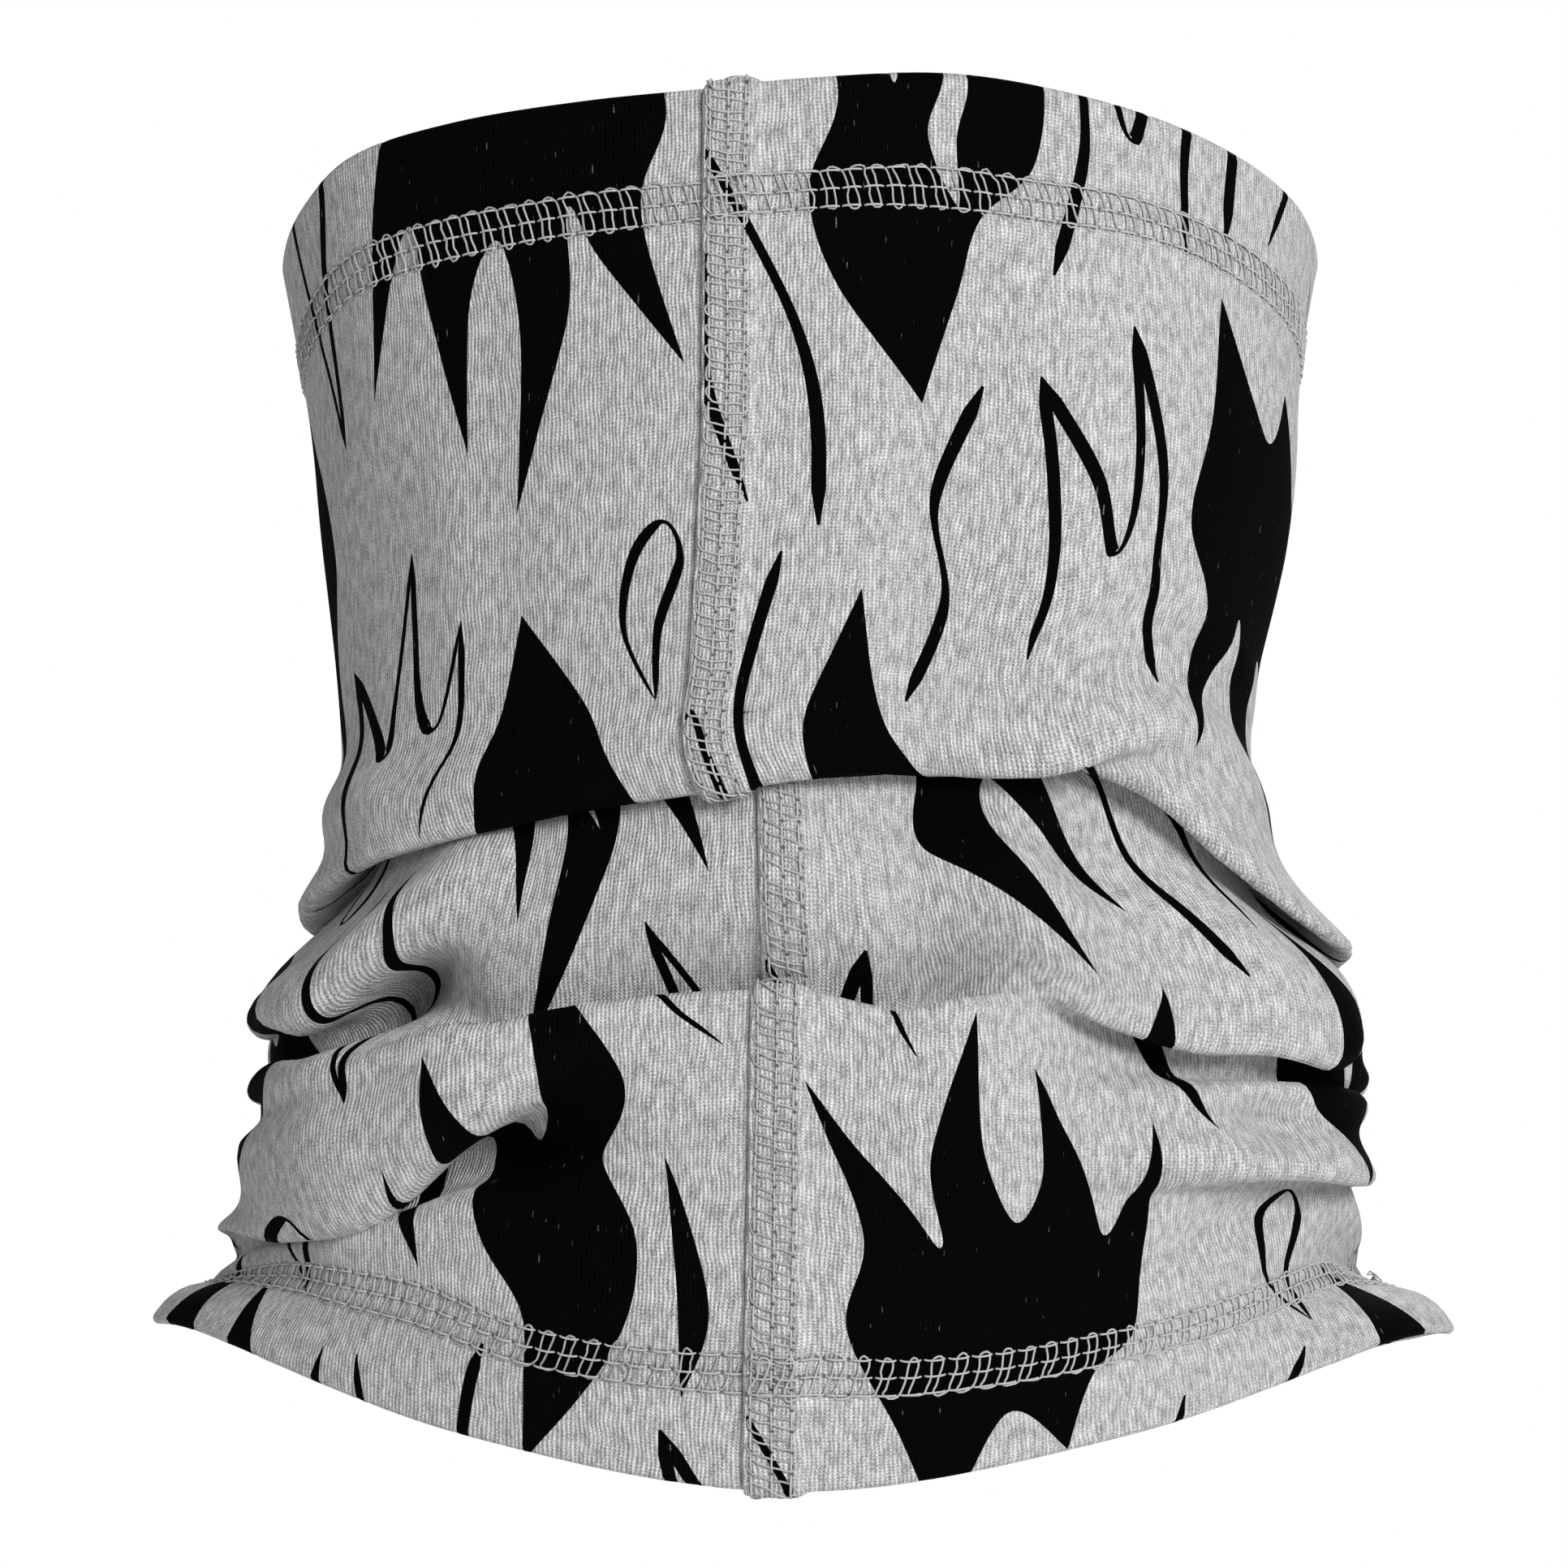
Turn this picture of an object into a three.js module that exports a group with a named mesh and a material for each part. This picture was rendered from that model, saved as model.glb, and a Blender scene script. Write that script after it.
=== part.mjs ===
// Knitted neck gaiter in its worn, bunched shape: a tube of jersey with one upright seam at the front,
// hemmed at both ends, and the threads of its four stitch lines. Millimetres, +Z up.
// The origin is the middle of the neck opening. +X is the wearer's left, -Y is the front.
import * as THREE from "three";

// ---- driving dimensions ----
const CLOTH = 1.0; // thickness of the jersey
const HEM_DEPTH = 24; // turned-in cloth at each end
const HEM_STITCHES = [15.6, 18.8, 22.0]; // needle rows, measured from the rim
const SEAM_ROWS = [0.4, 3.4, 6.4]; // needle rows, measured from the seam line
const SEAM_BAND = 6.8; // seam allowance, turned to one side under its own stitches
const LAYER_GAP = 0.3; // air between layers and beside threads
const THREAD = 0.25; // thread radius
const STITCH_GAP = 0.45; // air between the cloth and a thread lying on it
const STITCH_LIFT = STITCH_GAP + THREAD; // thread centre above the cloth
const COVER_LIFT = STITCH_LIFT + 2 * THREAD + LAYER_GAP; // cover thread crosses over the needle threads
const LOOPER_LIFT = 1.1; // looper threads lie loosely on the inside
const OVER_SEAM = COVER_LIFT + 2 * THREAD; // extra lift of the hem stitches where they cross the seam
const WAIST_HALF_WIDTH = 80; // narrowest half width, at chin height
const SEAM_AT = -15; // seam line beside the middle of the front
const GIRTH = 500; // distances around the tube are shares of this

const COLUMNS = 50; // columns of cloth between the two edges of the seam band
const BODY_ROWS = 28; // rows of cloth between the two hems
const SECTION_STEPS = 60; // steps used to measure a quarter of a section
const SIDE_COLUMN = 1.6; // width of the first column on each side of the seam band
const SHARE_STEP = 0.006; // share of the girth over which a section's direction is measured
const FACE_STEP = 1.5; // distance over which the face's slope is measured

// ---- curves ----
const smooth = (from, to, x) => {
  const k = Math.min(Math.max((x - from) / (to - from), 0), 1);
  return k * k * (3 - 2 * k);
};
const mix = (a, b, k) => a + (b - a) * k;
// a share of the girth runs from -0.5 to 0.5: 0 is the middle of the front, positive towards +X
const wrap = (share) => share - Math.round(share);

// Smooth closed curve through [share, value] points.
function around(points, share) {
  const last = points.length - 1;
  const at = (i) => {
    const turns = Math.floor(i / points.length);
    const [s, value] = points[i - turns * points.length];
    return [s + turns, value];
  };
  const s = wrap(share);
  let i = points.findIndex((p) => p[0] > s) - 1;
  if (i < -1) i = last;
  const [[s0, v0], [s1, v1], [s2, v2], [s3, v3]] = [at(i - 1), at(i), at(i + 1), at(i + 2)];
  const h = s2 - s1;
  const k = (s - s1) / h;
  const m1 = (h * (v2 - v0)) / (s2 - s0);
  const m2 = (h * (v3 - v1)) / (s3 - s1);
  const k2 = k * k;
  const k3 = k2 * k;
  return (2 * k3 - 3 * k2 + 1) * v1 + (k3 - 2 * k2 + k) * m1 +
    (3 * k2 - 2 * k3) * v2 + (k3 - k2) * m2;
}

// ---- the two rims: height by share of the girth ----
const TOP_RIM = [
  [-0.5, 104], [-0.38, 99], [-0.27, 89], [-0.235, 90], [-0.2, 97], [-0.165, 105.5], [-0.12, 110.5],
  [-0.07, 114], [0, 116], [0.05, 117], [0.1, 113.5], [0.14, 108.5], [0.19, 100], [0.235, 91],
  [0.27, 90], [0.38, 99],
];
const BOTTOM_RIM = [
  [-0.5, -114], [-0.38, -111], [-0.3, -101], [-0.25, -95], [-0.2, -98.5], [-0.1, -112], [0, -118.5],
  [0.1, -112], [0.2, -99], [0.25, -96], [0.3, -101], [0.38, -111],
];

// ---- worn form: each level section is set by its half width, its girth and how pointed its sides are ----
const halfWidth = (z) =>
  WAIST_HALF_WIDTH + 12.5 * Math.max((z - 5) / 95, 0) ** 1.4 + 22 * smooth(-8, -40, z) +
  5 * smooth(-50, -66, z) + 10 * smooth(-82, -100, z);
const girth = (z) =>
  484 + 26 * smooth(0, 100, z) + 40 * smooth(0, -45, z) + 26 * smooth(-50, -100, z);
const pointedness = (z) => 1 + 0.75 * smooth(-45, -100, z);

// A quarter of the section, from the middle of the front to the side, with the length run so far.
function quarter(width, depth, power) {
  const points = [];
  let run = 0;
  for (let i = 0; i <= SECTION_STEPS; i++) {
    const angle = (i / SECTION_STEPS) * (Math.PI / 2);
    const x = width * Math.sin(angle);
    const y = -depth * Math.max(Math.cos(angle), 0) ** power;
    if (i > 0) run += Math.hypot(x - points[i - 1].x, y - points[i - 1].y);
    points.push({ x, y, run });
  }
  return points;
}

// The section's depth follows from its width, because the knit's girth is what is known.
const sections = new Map();
function section(z) {
  const key = Math.round(z * 4);
  if (!sections.has(key)) {
    const level = key / 4;
    let low = 20;
    let high = 140;
    let points;
    while (high - low > 0.01) {
      const depth = (low + high) / 2;
      points = quarter(halfWidth(level), depth, pointedness(level));
      if (points[SECTION_STEPS].run * 4 < girth(level)) low = depth;
      else high = depth;
    }
    sections.set(key, points);
  }
  return sections.get(key);
}

// Point of the worn form at a share of the girth and a height.
function formPoint(share, z) {
  const s = wrap(share);
  const behind = Math.abs(s) > 0.25;
  const quarterShare = behind ? 2 - Math.abs(s) * 4 : Math.abs(s) * 4;
  const points = section(z);
  const run = quarterShare * points[SECTION_STEPS].run;
  let i = 1;
  while (i < SECTION_STEPS && points[i].run < run) i++;
  const k = (run - points[i - 1].run) / (points[i].run - points[i - 1].run);
  const x = mix(points[i - 1].x, points[i].x, k);
  const y = mix(points[i - 1].y, points[i].y, k);
  return new THREE.Vector2(x * Math.sign(s || 1), behind ? -y : y);
}

function formNormal(share, z) {
  const before = formPoint(share - SHARE_STEP, z);
  const after = formPoint(share + SHARE_STEP, z);
  const along = after.sub(before).normalize();
  return new THREE.Vector2(along.y, -along.x);
}

// ---- folds: each is a step in or out across a slanting line, [share, height, depth], rise in height ----
const FOLDS = [
  // swelling just above the lip, where the upper cloth hangs over
  {
    rise: 18,
    line: [
      [-0.34, -4, 0], [-0.25, -6, 3], [0, 14, 3], [0.08, 18, 5], [0.16, 4, 4],
      [0.24, -10, 3], [0.34, -6, 0],
    ],
  },
  // lip across the front, running down into a roll on the left of the wearer
  {
    rise: 6,
    line: [
      [-0.3, -24, 0], [-0.24, -24, -5], [-0.18, -17, -7], [0, -1, -7], [0.08, 3, -7],
      [0.12, -2, -7], [0.16, -13, -7], [0.2, -23, -7], [0.25, -31, -4], [0.31, -31, 0],
    ],
  },
  // pocket on the wearer's right
  {
    rise: 4,
    line: [[-0.28, -31, 0], [-0.24, -31, -5], [-0.18, -30, -5], [-0.13, -30, 0]],
  },
  {
    rise: 5,
    line: [[-0.28, -42, 0], [-0.24, -43, 5], [-0.18, -40, 6], [-0.13, -38, 0]],
  },
  // crest of the lower cloth, which stands in front of the middle
  {
    rise: 6,
    line: [[-0.16, -42, 0], [-0.11, -38, 5], [0, -35, 5], [0.06, -37, 5], [0.1, -38, 0]],
  },
  // the middle hangs over the lower cloth on the wearer's left
  {
    rise: 4,
    line: [[0.07, -38, 0], [0.11, -40, -5], [0.2, -47, -6], [0.26, -50, 0]],
  },
  // shelf and hollow below it
  {
    rise: 6,
    line: [[0.07, -50, 0], [0.14, -53, 4], [0.2, -57, 6], [0.25, -58, 5], [0.34, -58, 0]],
  },
  {
    rise: 7,
    line: [[0.08, -64, 0], [0.14, -66, -3], [0.2, -67, -6], [0.25, -68, -5], [0.34, -68, 0]],
  },
  // low roll and fold on the wearer's right
  {
    rise: 7,
    line: [[-0.36, -54, 0], [-0.28, -55, 6], [-0.2, -56, 5], [-0.12, -54, 0]],
  },
  {
    rise: 6,
    line: [[-0.34, -68, 0], [-0.26, -68, -6], [-0.18, -66, -6], [-0.12, -62, -5], [-0.07, -60, 0]],
  },
  // the hem flares to a corner at each side
  {
    rise: 20,
    line: [[-0.34, -86, 0], [-0.25, -85, 7], [-0.16, -88, 0]],
  },
  {
    rise: 20,
    line: [[0.16, -88, 0], [0.25, -85, 6], [0.34, -86, 0]],
  },
  // rolls across the back of the neck
  {
    rise: 6,
    line: [[0.32, -6, 0], [0.4, -2, -6], [0.5, 0, -6], [0.6, -4, -6], [0.68, -8, 0]],
  },
  {
    rise: 8,
    line: [[0.32, -26, 0], [0.4, -24, 6], [0.5, -22, 6], [0.6, -24, 6], [0.68, -26, 0]],
  },
  {
    rise: 6,
    line: [[0.32, -50, 0], [0.4, -48, -6], [0.5, -46, -5], [0.6, -48, -6], [0.68, -50, 0]],
  },
  {
    rise: 8,
    line: [[0.32, -68, 0], [0.4, -66, 6], [0.5, -66, 5], [0.6, -66, 6], [0.68, -68, 0]],
  },
];

// How far the folds push the cloth out of the worn form.
function foldDepth(share, z) {
  let total = 0;
  for (const { line, rise } of FOLDS) {
    const first = line[0][0];
    const s = wrap(share) < first ? wrap(share) + 1 : wrap(share);
    const next = line.findIndex((p) => p[0] > s);
    if (next < 1) continue;
    const k = smooth(line[next - 1][0], line[next][0], s);
    const height = mix(line[next - 1][1], line[next][1], k);
    const depth = mix(line[next - 1][2], line[next][2], k);
    total += depth * smooth(height + rise / 2, height - rise / 2, z);
  }
  return total;
}

// The cloth slides sideways where it is folded, and the seam shows it.
const seamDrift = (z) => -4.5 * smooth(60, 8, z) + 12 * smooth(8, -8, z) + 3 * smooth(-10, -34, z) -
  2.5 * smooth(-34, -40, z);

// ---- the cloth's face: a point for a distance around from the seam line and a height ----
function facePoint(distance, z) {
  const share = (distance + SEAM_AT + seamDrift(z)) / GIRTH;
  const point = formPoint(share, z);
  const normal = formNormal(share, z);
  const depth = foldDepth(share, z);
  return new THREE.Vector3(point.x + normal.x * depth, point.y + normal.y * depth, z);
}

function faceNormal(distance, z) {
  const around = facePoint(distance + FACE_STEP, z).sub(facePoint(distance - FACE_STEP, z));
  const up = facePoint(distance, z + FACE_STEP).sub(facePoint(distance, z - FACE_STEP));
  return around.cross(up).normalize();
}

// lift is measured outwards from the cloth's face, so the inside of the cloth is at -CLOTH
const lifted = (distance, z, lift) =>
  facePoint(distance, z).addScaledVector(faceNormal(distance, z), lift);

const rimShare = (distance) => (distance + SEAM_AT) / GIRTH;
const topRim = (distance) => around(TOP_RIM, rimShare(distance));
const bottomRim = (distance) => around(BOTTOM_RIM, rimShare(distance));

// ---- meshes ----
function closedGeometry(corners, triangles) {
  const geometry = new THREE.BufferGeometry();
  const places = corners.flatMap((p) => p.toArray());
  geometry.setAttribute("position", new THREE.Float32BufferAttribute(places, 3));
  geometry.setIndex(triangles.flat());
  geometry.computeVertexNormals();
  return geometry;
}

// Two triangles for each cell between neighbouring rings of equal length.
function joinRings(ringSize, first, second) {
  const triangles = [];
  for (let i = 0; i < ringSize; i++) {
    const j = (i + 1) % ringSize;
    triangles.push([first + i, second + i, second + j], [first + i, second + j, first + j]);
  }
  return triangles;
}

// Columns start on the seam line, cross the seam band and go on evenly round the tube.
function columnDistances() {
  const columns = [0, SEAM_ROWS[1], SEAM_BAND, SEAM_BAND + SIDE_COLUMN];
  const start = columns[columns.length - 1];
  const end = GIRTH - SIDE_COLUMN;
  for (let i = 1; i <= COLUMNS; i++) columns.push(mix(start, end, i / COLUMNS));
  return columns;
}

// The seam allowance lies inside, two layers deep, over the seam band.
const seamLayers = (distance) => (distance <= SEAM_BAND ? 2 * CLOTH : 0);

const FACE_HEM_ROWS = [8, ...HEM_STITCHES]; // rows of the face, measured from either rim
const INSIDE_HEM_ROWS = [12, HEM_STITCHES[1], HEM_DEPTH]; // rows of the turned-in layer
const TURN = 1.4; // depth of the fold at the rim before the gap between its two layers opens

// Heights of the rows between the hems, from the top down.
function bodyRows(distance) {
  const start = topRim(distance) - HEM_DEPTH;
  const end = bottomRim(distance) + HEM_DEPTH;
  return Array.from({ length: BODY_ROWS - 1 }, (_, i) => mix(start, end, (i + 1) / BODY_ROWS));
}

// Heights of all the rows of the face, from the top down.
const faceRows = (distance) => [
  topRim(distance),
  ...FACE_HEM_ROWS.map((depth) => topRim(distance) - depth),
  ...bodyRows(distance),
  ...[...FACE_HEM_ROWS].reverse().map((depth) => bottomRim(distance) + depth),
  bottomRim(distance),
];

// One column's closed outline: [height, lift] from the top rim down the face, round and up the inside.
function columnOutline(distance) {
  const top = topRim(distance);
  const bottom = bottomRim(distance);
  const inside = CLOTH + seamLayers(distance);
  const gap = inside + LAYER_GAP;
  const turned = gap + CLOTH;
  const deepFirst = [...INSIDE_HEM_ROWS].reverse();
  const outline = faceRows(distance).map((z) => [z, 0]);
  outline.push([bottom, -turned]);
  for (const depth of INSIDE_HEM_ROWS) outline.push([bottom + depth, -turned]);
  for (const depth of deepFirst) outline.push([bottom + depth, -gap]);
  outline.push([bottom + TURN, -gap], [bottom + TURN, -inside]);
  for (const depth of INSIDE_HEM_ROWS) outline.push([bottom + depth, -inside]);
  for (const z of bodyRows(distance).reverse()) outline.push([z, -inside]);
  for (const depth of deepFirst) outline.push([top - depth, -inside]);
  outline.push([top - TURN, -inside], [top - TURN, -gap]);
  for (const depth of INSIDE_HEM_ROWS) outline.push([top - depth, -gap]);
  for (const depth of deepFirst) outline.push([top - depth, -turned]);
  outline.push([top, -turned]);
  return outline;
}

function panelGeometry() {
  const columns = columnDistances();
  const outlines = columns.map(columnOutline);
  const corners = [];
  for (let c = 0; c < columns.length; c++) {
    for (const [z, lift] of outlines[c]) corners.push(lifted(columns[c], z, lift));
  }
  const size = outlines[0].length;
  const triangles = [];
  for (let c = 0; c < columns.length; c++) {
    triangles.push(...joinRings(size, ((c + 1) % columns.length) * size, c * size));
  }
  return closedGeometry(corners, triangles);
}

// A thread through a list of { centre, out } points, three-sided; a loop joins its last point to its first.
const THREAD_SIDES = 3;
function threadGeometry(route, isLoop) {
  const corners = [];
  for (let i = 0; i < route.length; i++) {
    const before = route[isLoop ? (i + route.length - 1) % route.length : Math.max(i - 1, 0)];
    const after = route[isLoop ? (i + 1) % route.length : Math.min(i + 1, route.length - 1)];
    const along = after.centre.clone().sub(before.centre).normalize();
    const side = along.clone().cross(route[i].out).normalize();
    const out = side.clone().cross(along);
    for (let k = 0; k < THREAD_SIDES; k++) {
      const angle = (k / THREAD_SIDES) * 2 * Math.PI;
      corners.push(route[i].centre.clone()
        .addScaledVector(out, THREAD * Math.cos(angle))
        .addScaledVector(side, THREAD * Math.sin(angle)));
    }
  }
  const triangles = [];
  const spans = isLoop ? route.length : route.length - 1;
  for (let i = 0; i < spans; i++) {
    const next = (i + 1) % route.length;
    triangles.push(...joinRings(THREAD_SIDES, next * THREAD_SIDES, i * THREAD_SIDES));
  }
  if (!isLoop) {
    const end = (route.length - 1) * THREAD_SIDES;
    triangles.push([0, 2, 1], [end, end + 1, end + 2]);
  }
  return closedGeometry(corners, triangles);
}

const routePoint = (distance, z, lift) => ({
  centre: lifted(distance, z, lift),
  out: faceNormal(distance, z),
});

// Hem threads ride over the seam, where the cloth carries the seam's own stitches.
const RAMP = 8; // distance beside the seam band over which they come down again
const hemLift = (distance) => (distance < SEAM_BAND + RAMP || distance > GIRTH - RAMP ? OVER_SEAM : 0);

// fromRim gives the distance from the rim for each column, so a straight row and a zigzag are both routes.
function hemThread(rim, direction, fromRim, lift) {
  const route = columnDistances().map((distance, c) =>
    routePoint(distance, rim(distance) + direction * fromRim(c), lift(distance)));
  return threadGeometry(route, true);
}

// A thread that follows the seam, row by row; its ends stay endGap short of the rims.
const LEAST_ROW = 1; // least height between the end of a seam thread and its next point
function seamThread(fromSeam, lift, endGap) {
  const top = topRim(0) - endGap;
  const bottom = bottomRim(0) + endGap;
  const rows = faceRows(0).filter((z) => z < top - LEAST_ROW && z > bottom + LEAST_ROW);
  const route = [top, ...rows, bottom].map((z, i) => routePoint(fromSeam(i), z, lift));
  return threadGeometry(route, false);
}

// ---- the parts ----
const group = new THREE.Group();
function addPart(name, geometry, colour, roughness) {
  const material = new THREE.MeshStandardMaterial({ color: colour, roughness, metalness: 0 });
  const mesh = new THREE.Mesh(geometry, material);
  mesh.name = name;
  group.add(mesh);
}

const HEATHER_GREY = 0xb4b4b4;
const THREAD_GREY = 0xc6c6c6;
const CLOTH_ROUGHNESS = 0.95;
const THREAD_ROUGHNESS = 0.75;
const addThread = (name, geometry) => addPart(name, geometry, THREAD_GREY, THREAD_ROUGHNESS);

addPart("knit_panel", panelGeometry(), HEATHER_GREY, CLOTH_ROUGHNESS);

// the cover and looper threads go to and fro between the outer and the inner needle rows
const hemZigzag = (i) => (i % 2 === 0 ? HEM_STITCHES[0] : HEM_STITCHES[2]);
const insideHem = (distance) => -(2 * CLOTH + seamLayers(distance) + LAYER_GAP + LOOPER_LIFT);
for (const [hem, rim, direction] of [["top_hem", topRim, -1], ["bottom_hem", bottomRim, 1]]) {
  ["outer", "middle", "inner"].forEach((row, k) => {
    const needleLift = (distance) => STITCH_LIFT + hemLift(distance);
    const needle = hemThread(rim, direction, () => HEM_STITCHES[k], needleLift);
    addThread(`${hem}_needle_thread_${row}`, needle);
  });
  const coverLift = (distance) => COVER_LIFT + hemLift(distance);
  addThread(`${hem}_cover_thread`, hemThread(rim, direction, hemZigzag, coverLift));
  addThread(`${hem}_looper_thread`, hemThread(rim, direction, hemZigzag, insideHem));
}

["left", "middle", "right"].forEach((row, k) => {
  addThread(`seam_needle_thread_${row}`, seamThread(() => SEAM_ROWS[k], STITCH_LIFT, THREAD));
});
const seamZigzag = (i) => (i % 2 === 0 ? SEAM_ROWS[0] : SEAM_ROWS[2]);
addThread("seam_cover_thread", seamThread(seamZigzag, COVER_LIFT, THREAD));

// inside, the seam threads stop at the hems, whose turned-in cloth hides the rest
const CLEAR_OF_HEM = HEM_DEPTH + 2;
const OVER_ALLOWANCE = -(3 * CLOTH + LOOPER_LIFT);
const LOOPER_ROWS = [1.6, 4.4];
const JOINING_ROW = 0.5;
const OVERLOCK_ROW = 5.8;
const EDGE_ROW = SEAM_BAND + 2.6;
const looperZigzag = (i) => LOOPER_ROWS[i % 2];
const insideSeam = (fromSeam) => seamThread(fromSeam, OVER_ALLOWANCE, CLEAR_OF_HEM);
addThread("seam_looper_thread", insideSeam(looperZigzag));
addThread("joining_needle_thread", insideSeam(() => JOINING_ROW));
addThread("joining_upper_looper_thread", insideSeam(() => OVERLOCK_ROW));
const besideAllowance = seamThread(() => EDGE_ROW, -(CLOTH + LOOPER_LIFT), CLEAR_OF_HEM);
addThread("joining_lower_looper_thread", besideAllowance);

export default group;
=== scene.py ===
"""Knitted neck gaiter, worn and bunched: printed jersey, turned hems, one front seam and its coverstitches.

Lengths in the tables and functions are millimetres; finished meshes are in metres, in the part's own frame.
The panel of cloth has two coordinates: u runs round the tube from the seam line towards +X, s runs down
from the top rim. Below 0 and past PANEL_S the cloth is turned inside as a hem.
"""
import math

import bpy
import numpy as np
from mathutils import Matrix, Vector
from mathutils.geometry import delaunay_2d_cdt


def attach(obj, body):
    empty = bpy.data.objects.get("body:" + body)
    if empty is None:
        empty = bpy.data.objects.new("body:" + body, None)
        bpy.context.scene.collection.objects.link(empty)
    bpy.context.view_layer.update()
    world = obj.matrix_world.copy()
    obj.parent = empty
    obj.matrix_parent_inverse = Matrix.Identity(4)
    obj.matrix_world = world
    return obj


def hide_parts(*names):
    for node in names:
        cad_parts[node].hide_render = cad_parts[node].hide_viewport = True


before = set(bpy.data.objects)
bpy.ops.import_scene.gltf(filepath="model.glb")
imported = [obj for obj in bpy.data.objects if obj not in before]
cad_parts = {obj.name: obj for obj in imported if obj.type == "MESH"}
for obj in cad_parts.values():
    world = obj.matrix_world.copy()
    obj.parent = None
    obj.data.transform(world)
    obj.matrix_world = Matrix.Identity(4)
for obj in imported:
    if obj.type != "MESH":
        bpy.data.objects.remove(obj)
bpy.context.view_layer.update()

MM = 0.001

# ---------------------------------------------------------------- sizes
PANEL_U = 500.0  # round the tube, from the seam line back to it
PANEL_S = 300.0  # from rim to rim along the cloth
CLOTH = 1.0
HEM_TURN = 1.08  # radius of the cloth's face where it turns inside at a rim
HEM_CLOTH = 24.0  # cloth past each rim
SEAM_BAND = 6.8  # width of the seam allowance under its stitches
SEAM_RISE = 1.25  # how far the band stands above the cloth beside it
SEAM_FADE = 2.7  # width over which that rise fades
HEM_ROWS = (15.6, 18.8, 22.0)  # needle rows from a rim
SEAM_ROWS = (0.7, 3.6, 6.4)  # needle rows from the seam line
STITCH = 3.594  # stitch length
HEM_START, HEM_STITCHES = 0.3, 139  # where a hem's stitches start, and how many go round
SEAM_START, SEAM_STITCHES = 2 - HEM_CLOTH, 96  # the same for the seam
THREAD = 0.18  # thread radius
THREAD_SIDES = 6
DENT = 0.22  # how deep a needle row pulls the face in
HEM_DENT, SEAM_DENT = 0.9, 0.8  # how far aside it reaches
FOLDED = (100.0, 266.0)  # stretch of the cloth that is folded, and takes finer rows
BEND = 5.2  # cloth used by one sharp turn of a fold


def smooth(start, end, x):
    k = np.clip((x - start) / (end - start), 0, 1)
    return k * k * (3 - 2 * k)


def around(points, share):
    """Smooth closed curve through (share of girth, value) points."""
    at = np.array([p[0] for p in points])
    value = np.array([p[1] for p in points], float)
    count = len(at)
    at = np.concatenate([at - 1, at, at + 1])
    value = np.tile(value, 3)
    slope = np.zeros(3 * count)
    slope[1:-1] = (value[2:] - value[:-2]) / (at[2:] - at[:-2])
    share = (share + 0.5) % 1 - 0.5
    i = np.clip(np.searchsorted(at, share, side="right") - 1, 1, 3 * count - 3)
    h = at[i + 1] - at[i]
    k = (share - at[i]) / h
    return ((2 * k**3 - 3 * k**2 + 1) * value[i] + (k**3 - 2 * k**2 + k) * h * slope[i]
            + (3 * k**2 - 2 * k**3) * value[i + 1] + (k**3 - k**2) * h * slope[i + 1])


# ---------------------------------------------------------------- worn form
# Level sections of the worn tube, each set by its half width, its girth and how pointed its sides are.
def half_width(z):
    return (80 + 12.5 * max((z - 5) / 95, 0) ** 1.4 + 22 * smooth(-8, -40, z)
            + 5 * smooth(-50, -66, z) + 10 * smooth(-82, -100, z))


def girth(z):
    return (484 + 26 * smooth(0, 100, z) + 40 * smooth(0, -45, z)
            + 26 * smooth(-50, -100, z) + 16 * smooth(-80, -100, z))


def pointedness(z):
    return 1 + 0.75 * smooth(-45, -100, z)


FORM_ANGLES = np.linspace(0, math.pi / 2, 91)
FORM_LEVELS = np.linspace(-135, 135, 109)
FORM_SHARES = np.linspace(0, 1, 181)
HALVINGS = 30  # steps that close in on a section's depth
NEAR_SHARE = 0.006  # share of the girth over which a section's direction is measured


def quarter_section(width, depth, power):
    x = width * np.sin(FORM_ANGLES)
    y = -depth * np.cos(FORM_ANGLES).clip(0) ** power
    run = np.concatenate([[0], np.cumsum(np.hypot(np.diff(x), np.diff(y)))])
    return x, y, run


def level_section(z):
    """A quarter of the section at height z, evenly spaced along it. Its depth follows from the girth."""
    shallow, deep = 20.0, 140.0
    for _ in range(HALVINGS):
        depth = (shallow + deep) / 2
        x, y, run = quarter_section(half_width(z), depth, pointedness(z))
        if run[-1] * 4 < girth(z):
            shallow = depth
        else:
            deep = depth
    return np.interp(FORM_SHARES, run / run[-1], x), np.interp(FORM_SHARES, run / run[-1], y)


FORM_X, FORM_Y = (np.array(rows) for rows in zip(*(level_section(z) for z in FORM_LEVELS)))


def form_point(share, z):
    """Level place of the worn form at a share of the girth and a height."""
    share = (share + 0.5) % 1 - 0.5
    quarter = np.abs(share) * 4
    behind = quarter > 1
    row = np.clip((z - FORM_LEVELS[0]) / (FORM_LEVELS[1] - FORM_LEVELS[0]), 0, len(FORM_LEVELS) - 1.001)
    column = np.where(behind, 2 - quarter, quarter) * (len(FORM_SHARES) - 1)
    column = np.clip(column, 0, len(FORM_SHARES) - 1.001)
    i, j = row.astype(int), column.astype(int)
    f, g = row - i, column - j

    def between(table):
        upper = table[i, j] * (1 - g) + table[i, j + 1] * g
        lower = table[i + 1, j] * (1 - g) + table[i + 1, j + 1] * g
        return upper * (1 - f) + lower * f

    return between(FORM_X) * np.sign(share), between(FORM_Y) * np.where(behind, -1, 1)


def form_normal(share, z):
    """Level direction straight out of the worn form."""
    x0, y0 = form_point(share - NEAR_SHARE, z)
    x1, y1 = form_point(share + NEAR_SHARE, z)
    dx, dy = x1 - x0, y1 - y0
    length = np.hypot(dx, dy)
    return dy / length, -dx / length


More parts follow.
